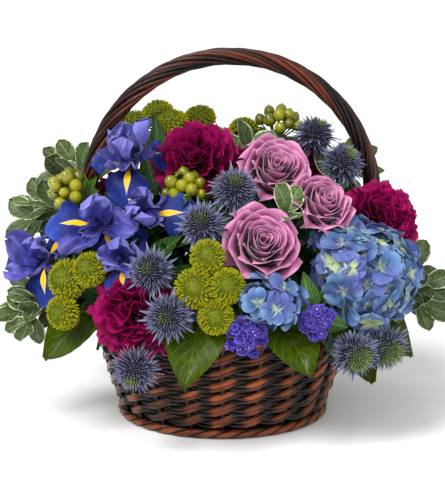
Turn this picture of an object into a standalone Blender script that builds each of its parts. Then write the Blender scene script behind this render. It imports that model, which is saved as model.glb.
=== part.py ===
"""Flower basket arrangement: a willow hoop-handled basket with a liner, wet foam and cut flowers.

Every flower is one cut stem as it grew, pushed into the foam along a ray from one point, the heart.
The origin is the middle of the basket's underside, +Z is up and the display side faces -Y.
"""
import math

import bmesh
import bpy
from mathutils import Matrix, Vector

MM = 0.001

# Basket
BASKET_HEIGHT = 100 * MM
WALL_LINE = ((91, 0), (92, 10.6), (101, 12), (109, 30), (116.5, 60), (124, 100))
RIM_RADIUS = 124 * MM
FOOT_RING_RADIUS = 97.8 * MM
WALL = 7 * MM
BASE_THICKNESS = 6 * MM
FOOT_ROD = 5 * MM
RIM_ROD = 7 * MM
TURN_STEPS = 32
FIT = 0.3 * MM

# Handle hoop
HOOP_RADIUS = 134.5 * MM
HOOP_CENTRE = (8 * MM, 0.0, 209 * MM)
HOOP_ROD = 8.5 * MM
HOOP_STEPS = 18
LEG_LEFT = ((-94, 48), (-99, 90), (-104, 122), (-118, 170))
LEG_RIGHT = ((132, 170), (108, 122), (100, 90), (94, 48))

# Liner and foam
LINER_RADIUS = 84 * MM
LINER_HEIGHT = 92 * MM
LINER_WALL = 1.2 * MM
FOAM_RADIUS = 74 * MM
FOAM_TOP = 135 * MM
FOAM_CHAMFER = 12 * MM
SOCKET_CUT = 90 * MM

# Stems
HEART = Vector((0.0, 0.0, 80 * MM))
STEM_START = 38 * MM
STEM_RADIUS = 2.0 * MM
STEM_CLEARANCE = 0.4 * MM
KNEE_REACH = 138 * MM
KNEE_RISE = math.tan(math.radians(18))
KNEE_BEND = 0.8
TURN_SHARE = 0.45
FORK_SHARE = 0.55
TRUNK_RADIUS = 2.3 * MM
TWIG_RADIUS = 1.4 * MM

# Heads, each as x, y, z of its middle in millimetres and the radius of its plain solid
ROSES = (
    ((50, -65, 250), 29), ((93, -88, 216), 25), ((36, -130, 192), 30),
    ((-40, 92, 232), 29), ((58, 122, 188), 29),
)
CARNATIONS = (
    ((-24, -42, 258), 28), ((158, -48, 205), 28), ((-88, -136, 128), 29),
    ((-114, 88, 196), 28), ((80, 84, 236), 28),
)
IRISES = (
    ((-87, -50, 250), 27), ((-62, -88, 214), 20), ((-118, -84, 200), 25),
    ((-172, -48, 158), 28), ((-82, -126, 172), 15), ((0, 140, 214), 25),
)
MUM_SPRAYS = (
    ((-59, 42, 288), (-84, 36, 276), (-48, 12, 280), (-22, 44, 281)),
    ((-120, -112, 163), (-144, -98, 150), (-144, -110, 121)),
    ((-13, -140, 181), (-27, -150, 153), (4, -152, 157), (-6, -158, 128)),
    ((-10, 112, 252), (22, 100, 262), (-32, 146, 192)),
)
MUM_RADIUS = 13.5
ERYNGIUMS = (
    ((11, -96, 232),), ((-18, -118, 204),), ((-62, -136, 166),), ((-47, -157, 130),),
    ((-76, -158, 84),), ((88, 22, 265), (112, -22, 244)), ((116, -146, 95), (146, -118, 93)),
)
ERYNGIUM_RADIUS = 14
BERRY_SPRAYS = (((-142, -48, 224), 18), ((-34, -74, 236), 17), ((56, 36, 274), 19), ((122, 106, 168), 18))
HYDRANGEAS = (((126, -84, 152), 44), ((42, -150, 142), 18), ((-84, 126, 146), 38))
STATICES = (((24, -164, 105), 18), ((84, -150, 125), 14), ((56, 154, 142), 18))
SPRIGS = (
    (-160, 50, 248), (-192, 42, 206), (-206, -52, 104), (208, -22, 128), (28, 4, 282),
    (138, 40, 252), (-176, 84, 120), (168, 100, 126),
)
LEAVES = (
    (-163, -98, 80), (-28, -178, 68), (72, -168, 76), (136, -112, 60), (174, -62, 64),
    (-96, 154, 76), (26, 178, 72),
)
LEAF_KNEE_REACH = 138 * MM
LEAF_KNEE_HEIGHT = 115 * MM
LEAF_START = 60 * MM
LEAF_HALF_WIDTH = 21 * MM
SPRIG_LEAF_LENGTH = 26 * MM
SPRIG_LEAF_HALF_WIDTH = 6.5 * MM
LEAF_TURN = 137.5

# Plain profiles: distance along the head's axis and radius, both in head radii
ROSE_PROFILE = ((-0.75, 0.16), (-0.55, 0.55), (-0.2, 0.9), (0.2, 1.0), (0.5, 0.85), (0.65, 0.4))
CARNATION_PROFILE = ((-1.0, 0.2), (-0.45, 0.28), (-0.15, 0.9), (0.15, 1.0), (0.5, 0.8), (0.7, 0.3))
IRIS_PROFILE = ((-1.1, 0.15), (-0.5, 0.3), (-0.2, 0.95), (0.15, 1.0), (0.5, 0.6), (1.0, 0.5), (1.15, 0.2))
MUM_PROFILE = ((-0.55, 0.35), (-0.35, 0.9), (0.0, 1.0), (0.4, 0.8), (0.6, 0.3))
ERYNGIUM_PROFILE = ((-0.5, 0.35), (-0.3, 0.9), (-0.05, 1.0), (0.2, 0.65), (0.7, 0.5), (0.95, 0.2))
CLUSTER_PROFILE = ((-0.9, 0.15), (-0.4, 0.6), (0.0, 1.0), (0.4, 0.95), (0.7, 0.4))
DOME_PROFILE = ((-0.6, 0.2), (-0.5, 0.6), (-0.25, 0.95), (0.1, 1.0), (0.45, 0.85), (0.7, 0.55), (0.8, 0.2))

COLOURS = {
    "willow": ((0.045, 0.014, 0.008, 1), 0.45),
    "liner": ((0.02, 0.05, 0.02, 1), 0.5),
    "foam": ((0.03, 0.1, 0.04, 1), 0.95),
    "rose": ((0.46, 0.14, 0.34, 1), 0.6),
    "carnation": ((0.26, 0.003, 0.13, 1), 0.6),
    "iris": ((0.07, 0.08, 0.5, 1), 0.55),
    "mum": ((0.38, 0.48, 0.02, 1), 0.7),
    "eryngium": ((0.1, 0.14, 0.26, 1), 0.7),
    "berry": ((0.37, 0.39, 0.03, 1), 0.35),
    "hydrangea": ((0.11, 0.24, 0.62, 1), 0.6),
    "statice": ((0.07, 0.04, 0.4, 1), 0.7),
    "sprig": ((0.11, 0.15, 0.05, 1), 0.5),
    "leaf": ((0.05, 0.14, 0.01, 1), 0.35),
}


def clear_scene():
    for obj in list(bpy.data.objects):
        bpy.data.objects.remove(obj, do_unlink=True)


def new_collection(name):
    collection = bpy.data.collections.new(name)
    bpy.context.scene.collection.children.link(collection)
    return collection


def finish_material(name, finish):
    colour, roughness = COLOURS[finish]
    material = bpy.data.materials.new(name + "_finish")
    material.use_nodes = True
    shader = material.node_tree.nodes["Principled BSDF"]
    shader.inputs["Base Color"].default_value = colour
    shader.inputs["Roughness"].default_value = roughness
    shader.inputs["Metallic"].default_value = 0.0
    return material


def add_part(name, data, finish):
    obj = bpy.data.objects.new(name, data)
    PARTS.objects.link(obj)
    data.materials.clear()
    data.materials.append(finish_material(name, finish))
    return obj


def add_tool(name, data):
    """A cutter or a piece to be united: shown as wire and never built by itself."""
    obj = bpy.data.objects.new(name, data)
    TOOLS.objects.link(obj)
    obj.hide_render = True
    obj.display_type = "WIRE"
    return obj


def turned(name, profile, finish, closed):
    """Turn an (x, z) profile about Z; an open one runs from the axis and back to it."""
    mesh = bpy.data.meshes.new(name)
    points = [(x, 0.0, z) for x, z in profile]
    edges = [(i, i + 1) for i in range(len(points) - 1)]
    if closed:
        edges.append((len(points) - 1, 0))
    mesh.from_pydata(points, edges, [])
    obj = add_part(name, mesh, finish)
    screw = obj.modifiers.new("turn", "SCREW")
    screw.steps = TURN_STEPS
    screw.render_steps = TURN_STEPS
    screw.use_merge_vertices = True
    screw.merge_threshold = 0.01 * MM
    screw.use_smooth_shade = True
    return obj


def outline_curve(name, sides, lobes, depth, flatness=1.0):
    """A closed unit outline for sweeping, with the given number of lobes and depth of lobe."""
    curve = bpy.data.curves.new(name, "CURVE")
    curve.dimensions = "2D"
    spline = curve.splines.new("POLY")
    spline.points.add(sides - 1)
    for i, point in enumerate(spline.points):
        angle = 2 * math.pi * i / sides
        reach = 1 - depth * (0.5 - 0.5 * math.cos(lobes * angle))
        point.co = (reach * math.cos(angle), flatness * reach * math.sin(angle), 0, 1)
    spline.use_cyclic_u = True
    return add_tool(name, curve)


def swept_mesh(points, radii, outline=None, round_off=2, tilt=0.0):
    """One closed mesh swept along the points, as wide at each as its radius says."""
    curve = bpy.data.curves.new("sweep", "CURVE")
    curve.dimensions = "3D"
    curve.use_fill_caps = True
    if outline is None:
        curve.bevel_depth = 1.0
        curve.bevel_resolution = round_off
    else:
        curve.bevel_mode = "OBJECT"
        curve.bevel_object = outline
    spline = curve.splines.new("POLY")
    spline.points.add(len(points) - 1)
    for point, place, radius in zip(spline.points, points, radii):
        point.co = (*place, 1)
        point.radius = radius
        point.tilt = tilt
    guide = bpy.data.objects.new("sweep", curve)
    bpy.context.scene.collection.objects.link(guide)
    evaluated = guide.evaluated_get(bpy.context.evaluated_depsgraph_get())
    mesh = bpy.data.meshes.new_from_object(evaluated)
    bpy.data.objects.remove(guide, do_unlink=True)
    bpy.data.curves.remove(curve)
    shell = bmesh.new()
    shell.from_mesh(mesh)
    bmesh.ops.remove_doubles(shell, verts=shell.verts, dist=0.01 * MM)
    bmesh.ops.recalc_face_normals(shell, faces=shell.faces)
    shell.to_mesh(mesh)
    shell.free()
    mesh.shade_smooth()
    return mesh


def united(name, meshes, finish):
    """One grown piece from several closed meshes that run into each other."""
    obj = add_part(name, meshes[0], finish)
    for i, mesh in enumerate(meshes[1:]):
        union = obj.modifiers.new(f"join_{i}", "BOOLEAN")
        union.operation = "UNION"
        union.solver = "EXACT"
        union.object = add_tool(f"{name}_branch_{i}", mesh)
    return obj


def in_metres(place):
    return Vector(place) * MM


def knee_for(head):
    """Where the stem of a low head turns down after it has cleared the rim."""
    sideways = Vector((head.x, head.y, 0)).normalized()
    return HEART + sideways * KNEE_REACH + Vector((0, 0, KNEE_REACH * KNEE_RISE))


def is_low(head):
    reach = math.hypot(head.x, head.y)
    return head.z - HEART.z < reach * KNEE_RISE


def facing(head):
    """The way a head looks: away from the heart, or from its stem's knee."""
    start = knee_for(head) if is_low(head) else HEART
    return (head - start).normalized()


def bent_line(start, corner, end, count):
    """Points along one smooth bend from start to end that leans towards the corner."""
    points = []
    for i in range(count):
        t = i / (count - 1)
        points.append(start.lerp(corner, t).lerp(corner.lerp(end, t), t))
    return points


def stem_points(end):
    """The stem's middle line: straight out of the foam, and over the rim if the end is low."""
    knee = knee_for(end) if is_low(end) else end
    ray = (knee - HEART).normalized()
    start = HEART + ray * STEM_START
    if not is_low(end):
        return [start, start.lerp(end, 0.5), end]
    bend = HEART.lerp(knee, KNEE_BEND)
    turn_end = knee.lerp(end, TURN_SHARE)
    return [start, *bent_line(bend, knee, turn_end, 4), end]


def stem_mesh(end):
    points = stem_points(end)
    FOAM_SOCKETS.append((points[0], (points[1] - points[0]).normalized()))
    return swept_mesh(points, [STEM_RADIUS] * len(points), None, 1)


def head_mesh(centre, radius, profile, outline=None, round_off=2):
    axis = facing(centre)
    points = [centre + axis * (along * radius) for along, _ in profile]
    return swept_mesh(points, [width * radius for _, width in profile], outline, round_off)


def flower(name, place, radius, profile, finish, outline=None):
    """One stem with one head."""
    centre = in_metres(place)
    head = head_mesh(centre, radius * MM, profile, outline)
    stem = stem_mesh(centre - facing(centre) * (0.3 * radius * MM))
    return united(name, [head, stem], finish)


def spray(name, places, radius, profile, finish, outline=None):
    """One stem that branches to several heads."""
    centres = [in_metres(place) for place in places]
    main = sum(centres, Vector()) / len(centres)
    fork = HEART.lerp(main, FORK_SHARE)
    meshes = [head_mesh(centre, radius * MM, profile, outline, 2) for centre in centres]
    if len(centres) == 1:
        meshes.append(stem_mesh(centres[0] - facing(centres[0]) * (0.2 * radius * MM)))
        return united(name, meshes, finish)
    if is_low(fork):
        fork = knee_for(main)
    ray = (fork - HEART).normalized()
    start = HEART + ray * STEM_START
    FOAM_SOCKETS.append((start, ray))
    trunk_end = fork + ray * (1.5 * MM)
    meshes.insert(0, swept_mesh([start, fork, trunk_end], [TRUNK_RADIUS] * 3, None, 1))
    for centre in centres:
        behind = facing(centre) * (radius * MM)
        over = fork.lerp(centre - behind * 1.2, 0.5) + ray * (4 * MM)
        path = bent_line(fork, over, centre - behind * 0.2, 4)
        meshes.append(swept_mesh(path, [TWIG_RADIUS] * 4, None, 1))
    return united(name, meshes, finish)


def leaf_mesh(points, half_width, outline, base=0.3, tilt=0.0):
    count = len(points)
    radii = []
    for i in range(count):
        radii.append(half_width * max(base, math.sin(math.pi * i / (count - 1))))
    return swept_mesh(points, radii, outline, 2, tilt)


def broad_leaf(name, place, outline):
    """A single broad leaf on its stalk, bending over the rim to its tip."""
    tip = in_metres(place)
    sideways = Vector((tip.x, tip.y, 0)).normalized()
    knee = sideways * LEAF_KNEE_REACH + Vector((0, 0, LEAF_KNEE_HEIGHT))
    over_rim = knee - sideways * (14 * MM) + Vector((0, 0, 3 * MM))
    ray = (over_rim - HEART).normalized()
    start = HEART + ray * LEAF_START
    FOAM_SOCKETS.append((start, ray))
    stalk = swept_mesh([start, over_rim + ray * (3 * MM)], [STEM_RADIUS * 0.8] * 2, None, 1)
    points = bent_line(over_rim, knee, tip, 6)
    return united(name, [leaf_mesh(points, LEAF_HALF_WIDTH, outline), stalk], "leaf")


def leafy_sprig(name, place, outline):
    """A woody stem with small leaves in turn along its outer half, one at the tip."""
    tip = in_metres(place)
    length = SPRIG_LEAF_LENGTH
    axis = facing(tip)
    stem_end = tip - axis * (length * 0.8)
    meshes = [stem_mesh(stem_end)]
    side = axis.cross(Vector((0, 0, 1))).normalized()
    for i in range(5):
        turn = Matrix.Rotation(math.radians(LEAF_TURN * i + 20), 3, axis)
        outward = turn @ side
        spread = 0.12 if i == 0 else 0.9
        base = stem_end - axis * (3 * MM + 6.3 * MM * i)
        direction = (axis + outward * spread).normalized()
        points = [base + direction * (length * step / 3) for step in range(4)]
        meshes.append(leaf_mesh(points, SPRIG_LEAF_HALF_WIDTH, outline, 0.36, 0.4 + 0.7 * i))
    return united(name, meshes, "sprig")


def basket():
    """Base, wall, foot border, rolled rim and hoop handle of split willow."""
    outer = [(x * MM, z * MM) for x, z in WALL_LINE]
    inner = [(x - WALL, z) for x, z in outer]
    turned("basket_wall", list(reversed(outer)) + inner, "willow", True)
    edge = inner[0][0] - FIT
    turned("basket_base", ((0, BASE_THICKNESS), (edge, BASE_THICKNESS), (edge, 0), (0, 0)), "willow", False)
    ring("basket_foot", FOOT_RING_RADIUS, FOOT_ROD, FOOT_ROD)
    ring("basket_rim", RIM_RADIUS - WALL / 2, RIM_ROD, BASKET_HEIGHT + RIM_ROD + FIT)


def ring(name, radius, rod, height):
    points = []
    for i in range(8):
        angle = -2 * math.pi * i / 8
        points.append((radius + rod * math.cos(angle), height + rod * math.sin(angle)))
    return turned(name, points, "willow", True)


def handle():
    """The hoop, bound rods that rise inside the wall and arch over the flowers."""
    points = [(x * MM, 0.0, z * MM) for x, z in LEG_LEFT]
    for i in range(HOOP_STEPS + 1):
        angle = math.pi - math.pi * i / HOOP_STEPS
        x = HOOP_CENTRE[0] + HOOP_RADIUS * math.cos(angle)
        points.append((x, 0.0, HOOP_CENTRE[2] + HOOP_RADIUS * math.sin(angle)))
    points += [(x * MM, 0.0, z * MM) for x, z in LEG_RIGHT]
    mesh = swept_mesh(points, [HOOP_ROD] * len(points), None, 2)
    return add_part("handle", mesh, "willow")


def liner():
    floor = BASE_THICKNESS + FIT
    top = LINER_HEIGHT
    inner = LINER_RADIUS - LINER_WALL
    profile = (
        (0, floor + LINER_WALL), (inner - 4 * MM, floor + LINER_WALL), (inner, top),
        (LINER_RADIUS, top), (LINER_RADIUS - 4 * MM, floor), (0, floor),
    )
    return turned("basket_liner", profile, "liner", False)


def foam():
    """The wet foam block with a socket for every stem."""
    floor = BASE_THICKNESS + LINER_WALL + 2 * FIT
    shoulder = FOAM_TOP - FOAM_CHAMFER
    profile = (
        (0, FOAM_TOP), (FOAM_RADIUS - FOAM_CHAMFER, FOAM_TOP), (FOAM_RADIUS, shoulder),
        (FOAM_RADIUS, floor), (0, floor),
    )
    block = turned("floral_foam", profile, "foam", False)
    sides = 6
    radius = (TRUNK_RADIUS + STEM_CLEARANCE) / math.cos(math.pi / sides)
    depth = SOCKET_CUT
    for i, (start, ray) in enumerate(FOAM_SOCKETS):
        cutter = bmesh.new()
        bmesh.ops.create_cone(
            cutter, cap_ends=True, segments=sides, radius1=radius, radius2=radius, depth=depth)
        mesh = bpy.data.meshes.new(f"socket_{i}")
        cutter.to_mesh(mesh)
        cutter.free()
        tool = add_tool(f"socket_{i}", mesh)
        middle = start + ray * (depth / 2 - STEM_CLEARANCE)
        tool.matrix_world = Matrix.Translation(middle) @ ray.to_track_quat("Z", "Y").to_matrix().to_4x4()
        cut = block.modifiers.new(f"socket_{i}", "BOOLEAN")
        cut.operation = "DIFFERENCE"
        cut.solver = "EXACT"
        cut.object = tool
    return block


def flowers():
    three = outline_curve("three_petal_outline", 12, 3, 0.4)
    spiny = outline_curve("spiny_outline", 12, 6, 0.3)
    ruffled = outline_curve("ruffled_outline", 12, 4, 0.12)
    blade = outline_curve("blade_outline", 4, 2, 0.0, 0.1)
    small_blade = outline_curve("small_blade_outline", 4, 2, 0.0, 0.25)
    for i, (place, radius) in enumerate(ROSES, 1):
        flower(f"rose_{i}", place, radius, ROSE_PROFILE, "rose")
    for i, (place, radius) in enumerate(CARNATIONS, 1):
        flower(f"carnation_{i}", place, radius, CARNATION_PROFILE, "carnation", ruffled)
    for i, (place, radius) in enumerate(IRISES, 1):
        flower(f"iris_{i}", place, radius, IRIS_PROFILE, "iris", three)
    for i, places in enumerate(MUM_SPRAYS, 1):
        spray(f"button_mum_spray_{i}", places, MUM_RADIUS, MUM_PROFILE, "mum")
    for i, places in enumerate(ERYNGIUMS, 1):
        spray(f"eryngium_{i}", places, ERYNGIUM_RADIUS, ERYNGIUM_PROFILE, "eryngium", spiny)
    for i, (place, radius) in enumerate(BERRY_SPRAYS, 1):
        flower(f"hypericum_{i}", place, radius, CLUSTER_PROFILE, "berry", ruffled)
    for i, (place, radius) in enumerate(HYDRANGEAS, 1):
        flower(f"hydrangea_{i}", place, radius, DOME_PROFILE, "hydrangea", ruffled)
    for i, (place, radius) in enumerate(STATICES, 1):
        flower(f"statice_{i}", place, radius, CLUSTER_PROFILE, "statice", ruffled)
    for i, place in enumerate(SPRIGS, 1):
        leafy_sprig(f"pittosporum_sprig_{i}", place, small_blade)
    for i, place in enumerate(LEAVES, 1):
        broad_leaf(f"salal_leaf_{i}", place, blade)


clear_scene()
PARTS = new_collection("flower_basket_arrangement")
TOOLS = new_collection("cutters")
FOAM_SOCKETS = []
basket()
handle()
liner()
flowers()
foam()
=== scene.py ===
"""Finished look of a willow flower basket: woven basket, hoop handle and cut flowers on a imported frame."""
import math
import random

import bpy
import numpy as np
from bpy.props import FloatProperty, FloatVectorProperty, IntProperty, PointerProperty
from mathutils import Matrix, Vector


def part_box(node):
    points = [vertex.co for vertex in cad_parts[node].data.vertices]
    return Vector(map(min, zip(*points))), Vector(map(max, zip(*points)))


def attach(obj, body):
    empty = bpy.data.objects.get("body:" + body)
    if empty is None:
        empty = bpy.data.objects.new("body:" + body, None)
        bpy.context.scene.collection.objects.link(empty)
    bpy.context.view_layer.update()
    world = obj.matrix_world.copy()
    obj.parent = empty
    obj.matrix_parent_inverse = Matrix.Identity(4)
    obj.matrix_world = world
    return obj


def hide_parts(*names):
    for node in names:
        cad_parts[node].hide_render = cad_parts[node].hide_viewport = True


bl_info = {
    "name": "Willow Flower Basket",
    "version": (1, 0, 0),
    "blender": (4, 5, 0),
    "location": "3D View > Sidebar > Flower Basket",
    "description": "Builds the woven basket and every flower of a florist's basket arrangement",
    "category": "Object",
}

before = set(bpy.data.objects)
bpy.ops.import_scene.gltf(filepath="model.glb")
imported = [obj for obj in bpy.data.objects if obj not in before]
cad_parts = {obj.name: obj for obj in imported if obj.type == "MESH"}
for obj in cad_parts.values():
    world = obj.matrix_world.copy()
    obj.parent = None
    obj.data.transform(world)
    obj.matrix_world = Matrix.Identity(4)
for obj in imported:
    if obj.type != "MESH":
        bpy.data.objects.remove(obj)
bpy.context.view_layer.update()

MM = 0.001
ROOT = "root"
GOLDEN = math.radians(137.508)


def box_of(node):
    low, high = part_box(node)
    return np.array(low), np.array(high)


FOAM_LOW, FOAM_HIGH = box_of("floral_foam")
RIM_LOW, RIM_HIGH = box_of("basket_rim")
FOOT_LOW, FOOT_HIGH = box_of("basket_foot")
WALL_HIGH = box_of("basket_wall")[1]
BASE_HIGH = box_of("basket_base")[1]
LINER_LOW, LINER_HIGH = box_of("basket_liner")
HANDLE_LOW, HANDLE_HIGH = box_of("handle")

# Every stem leaves the foam on a ray from the heart, and a low one turns down past the rim at a knee
HEART = np.array([0.0, 0.0, FOAM_HIGH[2] - 55 * MM])
STEM_START = 38 * MM
KNEE_REACH = RIM_HIGH[0] + 10.5 * MM
KNEE_RISE = math.tan(math.radians(18))

# The side the arrangement is made for: its front, seen from a little above
VIEWER = np.array([0.0, -1.0, 0.2])
# How far a flower is turned to the front, from 0, as it grows, to 1
ROSE_LOOKS = {"rose_1": 0.48, "rose_2": 0.25, "rose_3": 0.30}
CARNATION_LOOKS = {"carnation_1": 0.35, "carnation_2": 0.45, "carnation_3": 0.35}
# Blooms that sit a few millimetres above or below their plain heads
RAISED = {"rose_2": 6 * MM, "carnation_1": 7 * MM, "hypericum_2": -7 * MM}
# Open width of a bloom over the width of its plain head
CARNATION_OPEN = {"carnation_1": 1.46}


# ---------------------------------------------------------------- colour and shader nodes

def linear(hex_colour):
    """An sRGB hex colour as linear red, green, blue and alpha."""
    parts = [int(hex_colour[i:i + 2], 16) / 255 for i in (1, 3, 5)]
    return tuple(c / 12.92 if c <= 0.04045 else ((c + 0.055) / 1.055) ** 2.4 for c in parts) + (1.0,)


def feed(tree, node, inputs):
    """Give each input of a node its value, or link another node's output to it."""
    for socket, value in inputs.items():
        if isinstance(value, bpy.types.NodeSocket):
            tree.links.new(value, node.inputs[socket])
        else:
            node.inputs[socket].default_value = value


def add_node(tree, kind, inputs=None, stops=None, **settings):
    """Add a shader node; inputs take a value or another node's output, stops are a ramp's colours."""
    made = tree.nodes.new("ShaderNode" + kind)
    for name, value in settings.items():
        setattr(made, name, value)
    feed(tree, made, inputs or {})
    if stops:
        elements = made.color_ramp.elements
        while len(elements) < len(stops):
            elements.new(0.5)
        for element, (position, colour) in zip(elements, stops):
            element.position = position
            element.color = colour
    return made


def new_material(name):
    """An empty node material with its Principled shader and output."""
    material = bpy.data.materials.new(name)
    material.use_nodes = True
    tree = material.node_tree
    return material, tree, tree.nodes["Principled BSDF"]


def growth(tree):
    """A point's place on its own petal or rod (across, along and tone), and its grain in metres."""
    place = add_node(tree, "Attribute", attribute_name="place")
    grain = add_node(tree, "Attribute", attribute_name="grain")
    return add_node(tree, "SeparateXYZ", {"Vector": place.outputs["Vector"]}), grain


def petal_skin(name, deep, middle, pale, rough, sheen, vein_mm, vein_mix, bump_mm, spots=0.25,
               stops=(0.05, 0.55, 1.0)):
    """Living petal: its colour runs from base to tip, differs between petals and follows fine veins."""
    material, tree, shader = new_material(name)
    parts, grain = growth(tree)
    fine = add_node(tree, "VectorMath", {0: grain.outputs["Vector"],
                    1: (1 / (vein_mm * MM), 0.12 / (vein_mm * MM), 1.0)}, operation="MULTIPLY")
    veins = add_node(tree, "TexNoise", {"Vector": fine.outputs["Vector"], "Scale": 1.0, "Detail": 3.0})
    mottle = add_node(tree, "TexNoise", {"Vector": grain.outputs["Vector"], "Scale": 90.0, "Detail": 4.0})
    run = add_node(tree, "Math", {0: mottle.outputs["Fac"], 1: spots, 2: parts.outputs["Y"]},
                   operation="MULTIPLY_ADD")
    shifted = add_node(tree, "Math", {0: run.outputs[0], 1: spots * 0.5}, operation="SUBTRACT")
    tint = add_node(tree, "ValToRGB", {"Fac": shifted.outputs[0]},
                    stops=tuple(zip(stops, (linear(deep), linear(middle), linear(pale)))))
    dark = add_node(tree, "MapRange", {"Value": veins.outputs["Fac"], "From Min": 0.35, "From Max": 0.62,
                    "To Min": 1.0 - vein_mix, "To Max": 1.0})
    tone = add_node(tree, "MapRange", {"Value": parts.outputs["Z"], "To Min": 0.78, "To Max": 1.16})
    value = add_node(tree, "Math", {0: dark.outputs[0], 1: tone.outputs[0]}, operation="MULTIPLY")
    colour = add_node(tree, "HueSaturation", {"Color": tint.outputs["Color"], "Value": value.outputs[0]})
    bump = add_node(tree, "Bump", {"Height": veins.outputs["Fac"], "Distance": bump_mm * MM,
                                   "Strength": 0.6})
    feed(tree, shader, {"Base Color": colour.outputs["Color"], "Normal": bump.outputs["Normal"],
                        "Roughness": rough, "Sheen Weight": sheen, "Sheen Roughness": 0.4, "IOR": 1.38,
                        "Specular IOR Level": 0.2})
    return material


def waxy_leaf(name, deep, middle, pale, margin, margin_at, rough, vein_mm):
    """Thick living leaf with a wax coat: a pale midrib, side veins, and a margin colour if it has one."""
    material, tree, shader = new_material(name)
    parts, grain = growth(tree)
    metres = add_node(tree, "SeparateXYZ", {"Vector": grain.outputs["Vector"]})
    side = add_node(tree, "Math", {0: metres.outputs["X"]}, operation="ABSOLUTE")
    edge = add_node(tree, "Math", {0: parts.outputs["X"]}, operation="ABSOLUTE")
    slant = add_node(tree, "Math", {0: side.outputs[0], 1: -0.9, 2: metres.outputs["Y"]},
                     operation="MULTIPLY_ADD")
    ribs = add_node(tree, "Math", {0: slant.outputs[0], 1: math.tau / (vein_mm * MM)},
                    operation="MULTIPLY")
    wave = add_node(tree, "Math", {0: ribs.outputs[0]}, operation="SINE")
    vein = add_node(tree, "MapRange", {"Value": wave.outputs[0], "From Min": 0.9, "From Max": 1.0})
    midrib = add_node(tree, "MapRange", {"Value": side.outputs[0], "From Min": 0.4 * MM,
                                         "From Max": 0.9 * MM,
                      "To Min": 1.0, "To Max": 0.0})
    lines = add_node(tree, "Math", {0: vein.outputs[0], 1: midrib.outputs[0]}, operation="MAXIMUM")
    mottle = add_node(tree, "TexNoise", {"Vector": grain.outputs["Vector"], "Scale": 160.0,
                                         "Detail": 5.0})
    tint = add_node(tree, "ValToRGB", {"Fac": mottle.outputs["Fac"]},
                    stops=((0.3, linear(deep)), (0.7, linear(middle))))
    veined = add_node(tree, "Mix", {"Factor": lines.outputs[0], 6: tint.outputs["Color"],
                                    7: linear(pale)},
                      data_type="RGBA")
    ragged = add_node(tree, "TexNoise", {"Vector": grain.outputs["Vector"], "Scale": 260.0,
                                         "Detail": 2.0})
    reach = add_node(tree, "Math", {0: ragged.outputs["Fac"], 1: 0.5, 2: edge.outputs[0]},
                     operation="MULTIPLY_ADD")
    rim = add_node(tree, "MapRange", {"Value": reach.outputs[0], "From Min": margin_at,
                   "From Max": margin_at + 0.06})
    skin = add_node(tree, "Mix", {"Factor": rim.outputs[0], 6: veined.outputs[2], 7: linear(margin)},
                    data_type="RGBA")
    tone = add_node(tree, "MapRange", {"Value": parts.outputs["Z"], "To Min": 0.7, "To Max": 1.2})
    colour = add_node(tree, "HueSaturation", {"Color": skin.outputs[2], "Value": tone.outputs[0]})
    height = add_node(tree, "Math", {0: lines.outputs[0], 1: -1.0, 2: mottle.outputs["Fac"]},
                      operation="MULTIPLY_ADD")
    bump = add_node(tree, "Bump", {"Height": height.outputs[0], "Distance": 0.25 * MM, "Strength": 0.5})
    feed(tree, shader, {"Base Color": colour.outputs["Color"], "Normal": bump.outputs["Normal"],
                        "Roughness": rough, "IOR": 1.45, "Specular IOR Level": 0.25})
    return material


def stained_willow(name, dark, middle, light, fleck_mm):
    """Split willow rod, stained and lacquered: streaks along the grain, lighter where the rod's place value
    runs high, which is painted highlight with some wear on a bulging woven rod and wear alone on the hoop.
    """
    material, tree, shader = new_material(name)
    parts, grain = growth(tree)
    fine = add_node(tree, "VectorMath", {0: grain.outputs["Vector"],
                    1: (1 / (fleck_mm * MM), 0.05 / (fleck_mm * MM), 1.0)}, operation="MULTIPLY")
    streaks = add_node(tree, "TexNoise", {"Vector": fine.outputs["Vector"], "Scale": 1.0, "Detail": 5.0})
    blotch = add_node(tree, "TexNoise", {"Vector": grain.outputs["Vector"], "Scale": 60.0, "Detail": 3.0})
    # painted light: a high place value lightens the stain, a painted highlight with some wear on the woven
    # rods and borders, and a low one is painted shade
    worn_and_lit = add_node(tree, "Math", {0: streaks.outputs["Fac"], 1: 0.55, 2: parts.outputs["Y"]},
                    operation="MULTIPLY_ADD")
    uneven = add_node(tree, "Math", {0: blotch.outputs["Fac"], 1: 0.8, 2: worn_and_lit.outputs[0]},
                      operation="MULTIPLY_ADD")
    level = add_node(tree, "MapRange", {"Value": uneven.outputs[0], "From Min": 0.60, "From Max": 1.75})
    tint = add_node(tree, "ValToRGB", {"Fac": level.outputs[0]},
                    stops=((0.12, linear(dark)), (0.55, linear(middle)), (0.97, linear(light))))
    tone = add_node(tree, "MapRange", {"Value": parts.outputs["Z"], "To Min": 0.42, "To Max": 1.35})
    colour = add_node(tree, "HueSaturation", {"Color": tint.outputs["Color"], "Value": tone.outputs[0]})
    gloss = add_node(tree, "MapRange", {"Value": streaks.outputs["Fac"], "To Min": 0.12, "To Max": 0.44})
    bump = add_node(tree, "Bump", {"Height": streaks.outputs["Fac"], "Distance": 0.6 * MM,
                                   "Strength": 0.9})
    feed(tree, shader, {"Base Color": colour.outputs["Color"], "Roughness": gloss.outputs[0],
                        "Normal": bump.outputs["Normal"], "IOR": 1.5, "Specular IOR Level": 0.22,
                        "Coat Weight": 0.14, "Coat Roughness": 0.15})
    return material


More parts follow.
